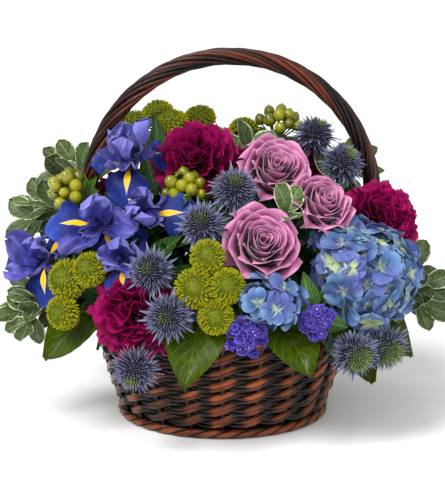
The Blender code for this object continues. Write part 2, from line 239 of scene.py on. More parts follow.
def grained(name, dark, light, rough, cell_mm, bump_mm, coat=0.0):
    """A matt or waxy surface with a fine even grain, such as soaked foam, moulded plastic or a berry."""
    material, tree, shader = new_material(name)
    where = add_node(tree, "TexCoord")
    place = add_node(tree, "Attribute", attribute_name="place")
    parts = add_node(tree, "SeparateXYZ", {"Vector": place.outputs["Vector"]})
    cells = add_node(tree, "TexNoise", {"Vector": where.outputs["Object"], "Scale": 1 / (cell_mm * MM),
                     "Detail": 3.0})
    level = add_node(tree, "Math", {0: cells.outputs["Fac"], 1: 0.6, 2: parts.outputs["Z"]},
                     operation="MULTIPLY_ADD")
    tint = add_node(tree, "ValToRGB", {"Fac": level.outputs[0]},
                    stops=((0.25, linear(dark)), (1.1 / 1.2, linear(light))))
    bump = add_node(tree, "Bump", {"Height": cells.outputs["Fac"], "Distance": bump_mm * MM})
    feed(tree, shader, {"Base Color": tint.outputs["Color"], "Normal": bump.outputs["Normal"],
                        "Roughness": rough, "Coat Weight": coat, "Coat Roughness": 0.15})
    return material


# ---------------------------------------------------------------- grown and woven geometry

def unit_grid(rows, cols):
    """Along from 0 at the base to 1 at the tip, and across from -1 to 1."""
    along, across = np.meshgrid(np.linspace(0, 1, rows), np.linspace(-1, 1, cols), indexing="ij")
    return along, across


def unit(vector):
    return vector / (np.linalg.norm(vector, axis=-1, keepdims=True) + 1e-12)


def spoke(turn, out, up):
    """A point out from the Z axis, turned round it by turn, at the height up."""
    return np.array([out * math.cos(turn), out * math.sin(turn), up])


def turned(points, angle):
    """The points turned about the Z axis."""
    c, s = math.cos(angle), math.sin(angle)
    return points @ np.array([[c, s, 0], [-s, c, 0], [0, 0, 1]])


def frame_for(axis, roll=0.0):
    """Rows are the X, Y and Z of a flower that looks along axis; X starts pointing down."""
    z = unit(np.asarray(axis, float))
    down = np.array([0.0, 0.0, -1.0]) - z * -z[2]
    if np.linalg.norm(down) < 0.05:
        down = np.array([0.0, -1.0, 0.0]) - z * -z[1]
    x = unit(down)
    y = np.cross(z, x)
    c, s = math.cos(roll), math.sin(roll)
    return np.array([x * c + y * s, y * c - x * s, z])


def bent_line(start, corner, end, count):
    """Points along one smooth bend from start to end that leans towards the corner."""
    t = np.linspace(0, 1, count)[:, None]
    start, corner, end = np.asarray(start), np.asarray(corner), np.asarray(end)
    return start * (1 - t) ** 2 + corner * 2 * t * (1 - t) + end * t ** 2


def curve_through(points, count):
    """A smooth curve through the points, evenly spaced in their numbering."""
    points = np.asarray(points, float)
    n = len(points)
    padded = np.vstack([2 * points[0] - points[1], points, 2 * points[-1] - points[-2]])
    out = []
    for q in np.linspace(0, n - 1, count):
        i = min(int(q), n - 2)
        t = q - i
        a, b, c, d = padded[i:i + 4]
        out.append(0.5 * (2 * b + (c - a) * t + (2 * a - 5 * b + 4 * c - d) * t * t
                          + (3 * b - a - 3 * c + d) * t ** 3))
    return np.array(out)


def petal(across, spine, half_width, lift):
    """Bend a flat grid onto a spine of (out, up) points, with a half width and a lift off the spine."""
    out, up = spine[:, 0], spine[:, 1]
    d_out, d_up = np.gradient(out), np.gradient(up)
    length = np.hypot(d_out, d_up) + 1e-9
    x = out[:, None] - (d_up / length)[:, None] * lift
    z = up[:, None] + (d_out / length)[:, None] * lift
    y = np.broadcast_to(half_width[:, None] * across, x.shape)
    return np.stack([x, y, z], axis=-1)


class Sheaf:
    """Gathers petals, leaves and stems into one mesh, with each point's place on its own petal."""

    def __init__(self):
        self.points = []
        self.faces = []
        self.slots = []
        self.place = []
        self.grain = []
        self.count = 0

    def add(self, points, faces, slot, place, grain):
        self.points.append(points)
        for group in faces:
            shifted = np.asarray(group) + self.count
            self.faces.extend(shifted.tolist())
            self.slots.extend([slot] * len(shifted))
        self.place.append(place)
        self.grain.append(grain)
        self.count += len(points)

    def sheet(self, points, along, across, size, tone, slot=0, thick=0.4 * MM):
        """A thin closed petal from a grid of points, thinning towards its edge."""
        rows, cols = along.shape
        du = np.gradient(points, axis=1)
        dv = np.gradient(points, axis=0)
        normal = unit(np.cross(du, dv))
        half = 0.5 * thick * (0.3 + 0.7 * (1 - across ** 4) * (1 - along ** 6))[..., None]
        flat = np.vstack([(points + normal * half).reshape(-1, 3),
                          (points - normal * half).reshape(-1, 3)])
        index = np.arange(rows * cols).reshape(rows, cols)
        a, b, c, d = index[:-1, :-1], index[:-1, 1:], index[1:, 1:], index[1:, :-1]
        top = np.stack([a, b, c, d], axis=-1).reshape(-1, 4)
        loop = np.concatenate([index[0, :-1], index[:-1, -1], index[-1, :0:-1], index[:0:-1, 0]])
        follow = np.roll(loop, -1)
        under = rows * cols
        side = np.stack([loop + under, follow + under, follow, loop], axis=-1)
        place = np.stack([across, along, np.full_like(along, tone)], axis=-1).reshape(-1, 3)
        seed = tone * 7.0
        grain = np.stack([across * size[0], along * size[1], np.full_like(along, seed)],
                         axis=-1).reshape(-1, 3)
        self.add(flat, [top, top[:, ::-1] + under, side], slot,
                 np.vstack([place, place]), np.vstack([grain, grain]))

    def tube(self, line, radii, sides, tone, slot=0, side_way=None, flat=1.0, wear_and_light=None, closed=False):
        """A closed rod along a line; side_way fixes its flat side and flat is thickness over height."""
        line = np.asarray(line, float)
        n = len(line)
        if closed:
            tangent = unit(np.roll(line, -1, axis=0) - np.roll(line, 1, axis=0))
        else:
            tangent = unit(np.gradient(line, axis=0))
        if side_way is None:
            side_way = np.empty_like(line)
            start = np.cross(tangent[0], [0.0, 0.0, 1.0])
            if np.linalg.norm(start) < 0.1:
                start = np.array([1.0, 0.0, 0.0])
            side_way[0] = start
            for i in range(1, n):
                side_way[i] = side_way[i - 1] - tangent[i] * np.dot(side_way[i - 1], tangent[i])
        across_way = unit(side_way - tangent * np.sum(side_way * tangent, axis=1, keepdims=True))
        up_way = np.cross(tangent, across_way)
        angle = np.arange(sides) * math.tau / sides
        radii = np.broadcast_to(np.asarray(radii, float), (n,))
        ring = (across_way[:, None] * (flat * np.cos(angle))[None, :, None]
                + up_way[:, None] * np.sin(angle)[None, :, None])
        points = (line[:, None] + ring * radii[:, None, None]).reshape(-1, 3)
        index = np.arange(n * sides).reshape(n, sides)
        after = np.roll(index, -1, axis=1)
        if closed:
            quads = np.stack([index, after, np.roll(after, -1, axis=0), np.roll(index, -1, axis=0)],
                             axis=-1)
            faces = [quads.reshape(-1, 4)]
        else:
            quads = np.stack([index[:-1], after[:-1], after[1:], index[1:]], axis=-1).reshape(-1, 4)
            faces = [quads, index[:1, ::-1], index[-1:]]
        step = np.linalg.norm(np.diff(line, axis=0, prepend=line[:1]), axis=1)
        run = np.cumsum(step)
        total = max(run[-1], 1e-9)
        mark = run / total if wear_and_light is None else np.asarray(wear_and_light, float)
        turn = np.broadcast_to(angle / math.pi - 1, (n, sides))
        place = np.stack([turn, np.broadcast_to(mark[:, None], (n, sides)), np.full((n, sides), tone)],
                         axis=-1)
        grain = np.stack([turn * math.pi * radii[:, None], np.broadcast_to(run[:, None], (n, sides)),
                          np.full((n, sides), tone * 7.0)], axis=-1)
        self.add(points, faces, slot, place.reshape(-1, 3), grain.reshape(-1, 3))

    def build(self, name, materials):
        mesh = bpy.data.meshes.new(name)
        points = np.vstack(self.points)
        mesh.from_pydata(points.tolist(), [], self.faces)
        for key, values in (("place", self.place), ("grain", self.grain)):
            layer = mesh.attributes.new(key, "FLOAT_VECTOR", "POINT")
            layer.data.foreach_set("vector", np.vstack(values).astype(np.float32).ravel())
        for material in materials:
            mesh.materials.append(material)
        mesh.polygons.foreach_set("material_index", self.slots)
        mesh.shade_smooth()
        mesh.set_sharp_from_angle(angle=math.radians(50))
        mesh.update()
        obj = bpy.data.objects.new(name, mesh)
        bpy.context.scene.collection.objects.link(obj)
        return obj


def stand_for(obj, slot, *nodes):
    """The piece rides on the basket and stands for its plain solids; slot is not used."""
    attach(obj, ROOT)
    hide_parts(*nodes)
    return obj


# ---------------------------------------------------------------- where the plain solids are

def nodes_named(prefix):
    return sorted(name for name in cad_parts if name.startswith(prefix))


def solid_points(node):
    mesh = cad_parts[node].data
    flat = np.empty(len(mesh.vertices) * 3)
    mesh.vertices.foreach_get("co", flat)
    return np.unique(np.round(flat.reshape(-1, 3), 6), axis=0)


def heads_of(node, reach, fewest=16):
    """Centre and radius of each plain head in a node, found where its points crowd together."""
    points = solid_points(node)
    heads = []
    while len(points):
        near = np.linalg.norm(points[:, None] - points[None], axis=2) < reach
        best = int(np.argmax(near.sum(axis=1)))
        if near[best].sum() < fewest:
            break
        centre = points[near[best]].mean(axis=0)
        for _ in range(3):
            inside = np.linalg.norm(points - centre, axis=1) < reach
            centre = points[inside].mean(axis=0)
        crowd = points[inside]
        axis = facing(centre)
        off = crowd - centre
        off = off - np.outer(off @ axis, axis)
        heads.append((centre, float(np.linalg.norm(off, axis=1).max())))
        points = points[~inside]
    return heads


def far_tip(node):
    """The point of a leaf or sprig that is farthest from the basket's middle."""
    points = solid_points(node)
    return points[int(np.argmax(np.linalg.norm(points - HEART, axis=1)))]


def knee_for(point):
    sideways = unit(np.array([point[0], point[1], 0.0]))
    return HEART + sideways * KNEE_REACH + np.array([0, 0, KNEE_REACH * KNEE_RISE])


def is_low(point):
    return point[2] - HEART[2] < math.hypot(point[0], point[1]) * KNEE_RISE


def facing(point):
    """The way a head looks: away from the heart, or from its stem's knee."""
    return unit(point - (knee_for(point) if is_low(point) else HEART))


def stem_line(end, count=12):
    """A stem's middle line from the foam to its head."""
    if not is_low(end):
        start = HEART + unit(end - HEART) * STEM_START
        return np.linspace(start, end, count)
    knee = knee_for(end)
    start = HEART + unit(knee - HEART) * STEM_START
    bend = HEART + (knee - HEART) * 0.8
    straight = np.linspace(start, bend, 4)[:-1]
    return np.vstack([straight, bent_line(bend, knee, end, count - 3)])


# ---------------------------------------------------------------- the user's sizes and colours

def colour_property(name, description, hex_colour):
    return FloatVectorProperty(
        name=name, description=description, subtype="COLOR", size=4, min=0, max=1,
        default=linear(hex_colour))


class BasketSettings(bpy.types.PropertyGroup):
    stakes: IntProperty(name="Stakes", description="Upright stakes round the wall", default=21, min=9,
                        max=41)
    row_pitch: FloatProperty(
        name="Row pitch", description="Height of one twined row", default=11.4 * MM, unit="LENGTH")
    rod_height: FloatProperty(
        name="Rod height", description="Half height of a split weaver", default=3.5 * MM, unit="LENGTH")
    handle_rods: IntProperty(name="Handle rods", description="Rods bound in the hoop", default=10, min=3,
                             max=14)


class FlowerSettings(bpy.types.PropertyGroup):
    rose_petals: IntProperty(name="Rose petals", description="Petals in each rose", default=36, min=8,
                             max=60)
    carnation_petals: IntProperty(
        name="Carnation petals", description="Petals in each carnation", default=40, min=10, max=80)
    sepal_length: FloatProperty(
        name="Hydrangea sepal", description="Length of a hydrangea sepal", default=15 * MM, unit="LENGTH")
    berry_radius: FloatProperty(
        name="Berry radius", description="Half width of a hypericum berry", default=5.6 * MM,
        unit="LENGTH")
    floor_colour: colour_property("Floor", "Colour of the studio floor", "#f7f7f7")


# ---------------------------------------------------------------- basket

def wall_radius(height):
    """Outer radius of the wall, curving out from the foot to the rim."""
    share = np.clip(height / WALL_HIGH[2], 0, 1)
    foot = FOOT_HIGH[0] - 6 * MM
    return WALL_HIGH[0] - (WALL_HIGH[0] - foot) * (1 - share) ** 1.6


def ring_points(radius, angle, height):
    x = radius * np.cos(angle)
    return np.stack([x, radius * np.sin(angle), np.broadcast_to(height, x.shape)], axis=-1)


def twined_row(sheaf, stakes, height, rod, rng):
    """Two split rods twined round every stake, as one rod that goes round twice."""
    steps = 8
    q = np.arange(2 * stakes * steps) / steps
    angle = -math.pi / 2 + q * math.tau / stakes
    wobble = np.interp(q, np.arange(2 * stakes + 1), [rng.uniform(-0.5,
                                                                  0.5) for _ in range(2 * stakes)] + [0])
    rise = np.sin(math.pi * q)
    z = height + 3.7 * MM * rise + wobble * 1.0 * MM
    bulge = np.cos(math.pi * q)
    radius = wall_radius(z) - 4.6 * MM + 2.8 * MM * bulge
    outward = ring_points(np.ones_like(angle), angle, 0.2 - 0.75 * rise)
    # painted light: lighter where the rod bulges out in front of a stake, painted shade where it dives
    # behind one, with a little real wear mixed in
    wear_and_light = np.clip(0.42 + 0.58 * bulge + 0.16 * np.sin(5 * q), 0, 1) ** 2.3
    slim = 0.92 + 0.24 * bulge + 0.08 * np.sin(q * 1.3 + rng.uniform(0, 6))
    for place, share in ((0.46, 0.62), (-0.50, 0.54)):
        drift = place * rod * (1 + 0.15 * np.sin(q * 0.9 + 3 * share))
        line = ring_points(radius - 0.3 * MM * (place < 0), angle, z + drift)
        # painted shade: the lower rod of each pair, set a little back, is darker still
        worn_and_lit = wear_and_light * (1.0 if place > 0 else 0.72)
        sheaf.tube(line, rod * slim * share, 8, rng.uniform(0.1, 1.0), 0, outward, 0.62, worn_and_lit, True)


def rope_ring(sheaf, radius, height, lay, rod, strands, twists, rng, squeeze=1.0):
    """A border of rods laid round each other like a rope, bent to a ring."""
    steps = 240
    angle = np.arange(steps) * math.tau / steps
    for strand in range(strands):
        phase = twists * angle + math.tau * strand / strands
        line = ring_points(radius + lay * np.cos(phase), angle, height + squeeze * lay * np.sin(phase))
        outward = ring_points(np.cos(phase), angle, np.sin(phase))
        # painted light: each strand is lighter on the outer face of the rope and darker where it turns in
        # between the others
        wear_and_light = 0.45 + 0.4 * np.cos(phase)
        sheaf.tube(line, rod, 8, rng.uniform(0.35, 0.8), 0, outward, 0.8, wear_and_light, True)


def build_basket(settings):
    rng = random.Random(11)
    # Split willow, dyed dark and lacquered, with streaks along the grain under a thin lacquer: painted shade
    # makes it near black where it dives behind a stake, and a painted highlight with some wear makes it
    # orange brown where it bulges
    willow = stained_willow("split_willow_stained_and_lacquered", "#060302", "#34160a", "#964a1e", 0.8)
    # Round willow stake, dyed: painted shade, as it lies behind the weave its colours are set almost black
    shadow_willow = stained_willow("willow_stakes_in_shadow", "#050202", "#120704", "#2a1208", 1.1)
    wall = Sheaf()
    low = FOOT_HIGH[2] + 1.5 * MM
    rows = int((WALL_HIGH[2] - low) / settings.row_pitch)
    pitch = (WALL_HIGH[2] - low) / rows
    for row in range(rows):
        twined_row(wall, settings.stakes, low + (row + 0.5) * pitch, settings.rod_height, rng)
    for stake in range(settings.stakes):
        angle = -math.pi / 2 + stake * math.tau / settings.stakes
        heights = np.linspace(2.5 * MM, WALL_HIGH[2], 9)
        radius = wall_radius(heights) - 4.2 * MM
        line = np.stack([radius * math.cos(angle), radius * math.sin(angle), heights], axis=-1)
        wall.tube(line, 2.4 * MM, 8, rng.uniform(0.2, 0.6), 1)
    stand_for(wall.build("woven_wall", [willow, shadow_willow]), "stained_willow", "basket_wall")

    foot = Sheaf()
    middle = (FOOT_HIGH[2] + FOOT_LOW[2]) / 2
    rope_ring(foot, FOOT_HIGH[0] - middle, middle, 2.5 * MM, 2.5 * MM, 3, 11, rng)
    stand_for(foot.build("twisted_foot_border", [willow]), "stained_willow", "basket_foot")

    rim = Sheaf()
    thick = (RIM_HIGH[2] - RIM_LOW[2]) / 2
    rope_ring(rim, RIM_HIGH[0] - thick, RIM_LOW[2] + thick, 3.4 * MM, 3.5 * MM, 4, 16, rng)
    stand_for(rim.build("rolled_rim_border", [willow]), "stained_willow", "basket_rim")

    base = Sheaf()
    reach = BASE_HIGH[0]
    rods = int(reach / (5.4 * MM))
    for i in range(1, rods + 1):
        angle = np.arange(96) * math.tau / 96
        radius = (reach - 3 * MM) * i / rods
        z = 2.9 * MM + 0.6 * MM * np.cos(angle * 8 + math.pi * i)
        base.tube(ring_points(np.full_like(angle, radius), angle, z), 2.3 * MM, 6, rng.uniform(0.3, 0.7),
                  0,
                  None, 1.0, np.full(96, 0.3), True)
    for i in range(8):
        angle = math.tau * i / 8
        line = np.linspace(spoke(angle, 8 * MM, 3.2 * MM), spoke(angle, reach - 3 * MM, 3.2 * MM), 6)
        base.tube(line, 2.6 * MM, 8, rng.uniform(0.3, 0.7), 0)
    base.tube(ring_points(np.full(24, 6 * MM), np.arange(24) * math.tau / 24, 3 * MM), 3 * MM, 8, 0.5, 0,
              None, 1.0, None, True)
    stand_for(base.build("woven_base", [willow]), "stained_willow", "basket_base")


def hoop_line(count):
    """Middle line of the handle, from the left leg's foot over the top to the right leg's."""
    rod = (HANDLE_HIGH[1] - HANDLE_LOW[1]) / 2
    radius = (HANDLE_HIGH[0] - HANDLE_LOW[0]) / 2 - rod
    middle = (HANDLE_HIGH[0] + HANDLE_LOW[0]) / 2
    spring = HANDLE_HIGH[2] - rod - radius
    left = [(-94, 48), (-99, 90), (-104, 122), (-118, 170)]
    right = [(132, 170), (108, 122), (100, 90), (94, 48)]
    points = [(x * MM, 0, z * MM) for x, z in left]
    for i in range(13):
        angle = math.pi - math.pi * i / 12
        points.append((middle + radius * math.cos(angle), 0, spring + radius * math.sin(angle)))
    points += [(x * MM, 0, z * MM) for x, z in right]
    return curve_through(points, count), rod


def build_handle(settings):
    rng = random.Random(5)
    # Willow rods, stained and lacquered: dark red brown ridges with little shine, and near black grooves
    # that are painted shade
    willow = stained_willow("willow_rods_stained_for_the_hoop", "#060302", "#260e08", "#582412", 0.7)
    line, rod = hoop_line(190)
    tangent = unit(np.gradient(line, axis=0))
    side = np.array([0.0, 1.0, 0.0])
    outward = np.cross(tangent, side)
    length = np.cumsum(np.linalg.norm(np.diff(line, axis=0, prepend=line[:1]), axis=1))
    handle = Sheaf()
    rods = settings.handle_rods
    thin = 2.1 * MM
    lay = rod - thin
    for i in range(rods):
        phase = length / (30 * MM) + math.tau * i / rods + 0.10 * np.sin(length / (50 * MM) + 2 * i)
        away = side[None] * np.cos(phase)[:, None] + outward * np.sin(phase)[:, None]
        swell = 1 + 0.10 * np.sin(length / (31 * MM) + 3 * i)
        wear_and_light = np.clip(rng.uniform(0.1, 0.9) + 0.25 * np.sin(length / (23 * MM) + i), 0, 1)
        handle.tube(line + away * lay, thin * swell, 8, rng.uniform(0.2, 1.0), 0, away, 0.9, wear_and_light)
    # painted shade: the core that shows in the grooves between the rods takes the darkest colour and no wear
    handle.tube(line, lay * 0.86, 8, 0.0, 0, None, 1.0, np.zeros(len(line)))
    stand_for(handle.build("hoop_handle", [willow]), "handle_willow", "handle")


def build_liner_and_foam():
    # Moulded polyethylene liner, vacuum formed: dark, slightly waxy, with a faint orange-peel skin
    plastic = grained("moulded_liner_plastic", "#060a07", "#141c15", 0.42, 2.5, 0.1)
    liner = Sheaf()
    steps = 64
    floor, top = LINER_LOW[2], LINER_HIGH[2]
    out = LINER_HIGH[0]
    profile = curve_through([(8 * MM, floor + 0.6 * MM), (out * 0.6, floor + 0.6 * MM),
                             (out - 8 * MM, floor + 1.5 * MM),
                             (out - 3.4 * MM, floor + 9 * MM), (out - 1.4 * MM, (floor + top) / 2),
                             (out - 1.0 * MM, top - 2 * MM), (out - 0.2 * MM, top)], 26)
    along, across = unit_grid(26, steps)
    angle = (across + 1) * math.pi
    bowl = ring_points(profile[:, :1], angle, profile[:, 1:])
    liner.sheet(bowl, along, across * 0.999, (0.26, 0.17), 0.4, 0, 1.2 * MM)
    stand_for(liner.build("waterproof_liner", [plastic]), "liner_plastic", "basket_liner")

    # Phenolic floral foam, cut with a knife and soaked: dull dark green, all fine open cells
    soaked = grained("soaked_floral_foam", "#0e2416", "#2c5a35", 0.85, 1.2, 0.5)
    foam = Sheaf()
    radius, low, high = FOAM_HIGH[0], FOAM_LOW[2], FOAM_HIGH[2]
    profile = [(radius * 0.02, low), (radius, low), (radius, high - 12 * MM), (radius - 12 * MM, high),
               (radius * 0.02, high)]
    line = np.array(profile)
    fine = np.vstack([np.linspace(line[i], line[i + 1], 7)[:-1] for i in range(4)] + [line[-1:]])
    angle = np.arange(steps) * math.tau / steps
    rng = random.Random(3)
    dent = np.array([[rng.uniform(-0.5, 0.5) for _ in range(steps)] for _ in range(len(fine))]) * MM
    ring = fine[:, :1] + dent
    points = ring_points(ring, angle, fine[:, 1:])
    index = np.arange(len(fine) * steps).reshape(len(fine), steps)
    after = np.roll(index, -1, axis=1)
    quads = np.stack([index[:-1], after[:-1], after[1:], index[1:]], axis=-1).reshape(-1, 4)
    count = len(fine) * steps
    flat = np.zeros((count, 3))
    flat[:, 2] = 0.4
    foam.add(points.reshape(-1, 3), [quads, index[:1, ::-1], index[-1:]], 0, flat, flat)
    stand_for(foam.build("wet_foam_block", [soaked]), "wet_floral_foam", "floral_foam")


# ---------------------------------------------------------------- stems and leaves

def add_stem(sheaf, end, radius, slot, tone=0.5, sides=6):
    sheaf.tube(stem_line(end), radius, sides, tone, slot)


def leaf_blade(sheaf, base, frame_rows, length, half_width, droop, cup, tone, slot, rows=9, cols=5,
               ripple=0.0, point=1.0, widest=0.45, thick=0.5 * MM):
    """One leaf that leaves base along its frame's Z, its upper face towards the frame's -X side."""
    along, across = unit_grid(rows, cols)
    v = along[:, 0]
    spine = np.stack([droop * length * v ** 2, length * v * (1 - 0.18 * abs(droop) * v)], axis=-1)
    shape = np.sin(math.pi * v ** (math.log(0.5) / math.log(widest))) ** point
    width = half_width * np.maximum(shape, 0.06)
    lift = cup * half_width * across ** 2 + ripple * half_width * np.sin(9 * along + 3 * tone) * across
    points = petal(across, spine, width, lift)
    sheaf.sheet(base + points @ frame_rows, along, across, (half_width, length), tone, slot, thick)


def fill_leaves(sheaf, end, rng, count, length, half_width, slot, start=0.4, stop=0.97):
    """Foliage along a stem, between the foam and the head, its upper sides outwards."""
    line = stem_line(end, 16)
    for i in range(count):
        share = start + (stop - start) * (i + rng.random() * 0.8) / count
        at = line[int(share * 15)]
        ahead = unit(line[15] - HEART)
        out = frame_for(ahead, i * GOLDEN + rng.uniform(-0.4, 0.4))[0]
        lean = rng.uniform(0.75, 1.35)
        way = unit(ahead * math.cos(lean) + out * math.sin(lean))
        size = rng.uniform(0.8, 1.15)
        leaf_blade(sheaf, at, leaf_frame(way, ahead + out * 0.1 + VIEWER * 0.1), length * size,
                   half_width * size,
                   rng.uniform(-0.1, 0.45), 0.18, rng.random(), slot)


# ---------------------------------------------------------------- flowers

def rose_bloom(sheaf, centre, rows, radius, count, rng):
    """Petals wrapped round the axis in a golden-angle spiral, rims rolled back to a soft point."""
    for i in range(count):
        t = i / (count - 1)
        turn = i * GOLDEN + rng.uniform(-0.12, 0.12)
        along, across = unit_grid(16, 15)
        rim = radius * (0.05 + 0.80 * t ** 0.88)
        top = radius * (0.30 - 0.36 * t ** 1.9) + rng.uniform(-0.025, 0.025) * radius
        half = 0.66 + 1.5 * (1 - t) ** 2.2
        neck = radius * 0.08
        seat = -0.72 * radius
        belly = (1 - (1 - along) ** 2.4) ** 0.72
        distance = neck + (rim - neck) * belly * (1 + 0.04 * across)
        peak = 0.08 * (1 - np.abs(across)) ** 1.6 * t - 0.20 * across ** 2 * (0.35 + 0.65 * t)
        height = seat + (top - seat) * along ** 1.15 + radius * peak * along ** 3
        curl = np.clip((along - 0.74) / 0.26, 0, 1)
        side = 0.40 + 0.60 * np.abs(across) ** 1.3
        roll = radius * (0.03 + 0.15 * t ** 1.2) * side
        point = radius * 0.05 * t ** 2 * (1 - np.abs(across)) ** 1.5
        distance = distance + (roll * 1.0 + point) * curl + radius * 0.07 * t ** 2 * along ** 3
        height = height - roll * curl ** 2 * 1.35
        wave = 0.022 * radius * np.sin(4 * across + 5 * along + i) * along ** 2
        angle = across * half * (0.55 + 0.45 * np.sin(math.pi * np.clip(along, 0, 0.85) ** 0.9))
        spread = distance + wave
        points = ring_points(spread, angle, height + wave)
        size = (rim * half, radius * 1.3)
        sheaf.sheet(centre + turned(points, turn) @ rows, along, across, size, rng.random(), 0, 0.4 * MM)


def build_roses(settings):
    # Lavender garden rose, living petal: matt velvet skin, darker towards the petal bases as painted shade
    # in the folds, and pale on the rolled rims, partly its own colour and partly painted highlight
    velvet = petal_skin("rose_petal_velvet", "#661a44", "#a85284", "#d294b8", 0.58, 0.25, 0.9, 0.08, 0.05,
                        0.2, (0.45, 0.82, 1.0))
    green = waxy_leaf("rose_leaf_and_stem", "#0f2408", "#1d3b10", "#35551f", "#1d3b10", 9.0, 0.42, 5.0)
    for number, node in enumerate(nodes_named("rose_")):
        rng = random.Random(100 + number)
        centre, plain = heads_of(node, 36 * MM)[0]
        centre = centre + np.array([0, 0, RAISED.get(node, 0)])
        axis = turned_to_viewer(facing(centre), ROSE_LOOKS.get(node, 0.1))
        radius = plain * 1.24
        sheaf = Sheaf()
        rose_bloom(sheaf, centre + axis * 0.10 * radius, frame_for(axis, rng.uniform(0, 6)), radius,
                   settings.rose_petals, rng)
        add_stem(sheaf, centre - axis * 0.5 * radius, 2.4 * MM, 1)
        hip = centre - axis * 0.62 * radius
        sheaf.tube([hip - axis * 6 * MM, hip, hip + axis * 5 * MM, hip + axis * 9 * MM],
                   [2.6 * MM, 6 * MM, 6.5 * MM, 3 * MM], 10, 0.5, 1)
        for i in range(5):
            out = frame_for(axis, math.tau * i / 5)[0]
            leaf_blade(sheaf, hip, leaf_frame(out * 0.9 - axis * 0.25, axis), 24 * MM, 3.2 * MM, 0.2, 0.2,
                       0.5, 1)
        fill_leaves(sheaf, centre - axis * radius * 0.8, rng, 10, 50 * MM, 15 * MM, 1)
        stand_for(sheaf.build(f"lavender_{node}", [velvet, green]), "rose_petal", node)


def carnation_bloom(sheaf, centre, rows, radius, count, rng):
    """Fan petals with pinked edges, ruffled, upright in the middle and turned right down outside."""
    for i in range(count):
        t = i / (count - 1)
        turn = i * GOLDEN + rng.uniform(-0.3, 0.3)
        along, across = unit_grid(13, 27)
        v = along[:, 0]
        length = radius * (1.32 - 0.16 * t + rng.uniform(-0.08, 0.08))
        lean = 88 - 44 * t + rng.uniform(-7, 7)
        spine = arc_spine(length, lean, lean - 6 - 80 * t ** 1.3, 13, 1.4)
        fan = 0.07 + 0.45 * v ** 1.6
        teeth = 0.035 * np.abs(np.sin(across * 14 + i)) + 0.05 * np.sin(across * 4 + i * 2)
        ruffle = (0.17 * np.sin(across * 3.4 + i * 1.7) + 0.09 * np.sin(across * 7.5 + i * 2.3)
                  + 0.02 * np.sin(across * 17 + i)) * along ** 1.9
        edge = (teeth - 0.20 * across ** 2) * along ** 3
        points = petal(across, spine, length * fan, length * (ruffle + 0.14 * across ** 2 * along))
        d = unit(np.gradient(spine, axis=0))
        points[..., 0] += d[:, :1] * length * edge
        points[..., 2] += d[:, 1:] * length * edge
        points = turned(points, turn)
        points[..., 2] -= radius * 0.56
        sheaf.sheet(centre + points @ rows, along, across, (length * 0.45, length), rng.random(), 0,
                    0.35 * MM)


def build_carnations(settings):
    # Carnation, living petal: crumpled matt silk, burgundy black towards the petal bases as painted shade
    # between the ruffles, magenta on their edges, partly their own colour and partly painted highlight
    ruffled = petal_skin("carnation_petal_ruffled", "#1e0008", "#580024", "#a00a5c", 0.6, 0.0, 0.8, 0.14,
                         0.06,
                         0.25, (0.40, 0.80, 1.05))
    dusky = petal_skin("dark_carnation_petal", "#1c0008", "#5c0026", "#940654", 0.6, 0.0, 0.8, 0.14, 0.06,
                       0.25, (0.40, 0.80, 1.05))
    green = waxy_leaf("carnation_calyx_and_stem", "#1c3320", "#355237", "#5c7a58", "#355237", 9.0, 0.5,
                      4.0)
    for number, node in enumerate(nodes_named("carnation_")):
        rng = random.Random(200 + number)
        centre, plain = heads_of(node, 32 * MM)[0]
        axis = turned_to_viewer(facing(centre), CARNATION_LOOKS.get(node, 0.1))
        radius = plain * CARNATION_OPEN.get(node, 1.36)
        lifted = centre + np.array([0, 0, RAISED.get(node, 0)])
        sheaf = Sheaf()
        carnation_bloom(sheaf, lifted, frame_for(axis, 1.0), radius, settings.carnation_petals, rng)
        foot = centre - axis * 1.1 * radius
        add_stem(sheaf, foot, 2.2 * MM, 1)
        sheaf.tube([foot, foot + axis * 4 * MM, foot + axis * 14 * MM, foot + axis * 20 * MM],
                   [2.4 * MM, 5 * MM, 6 * MM, 6.5 * MM], 10, 0.5, 1)
        fill_leaves(sheaf, foot, rng, 18, 54 * MM, 14 * MM, 1)
        skin = dusky if number == 0 else ruffled
        stand_for(sheaf.build(f"magenta_{node}", [skin, green]), "carnation_petal", node)


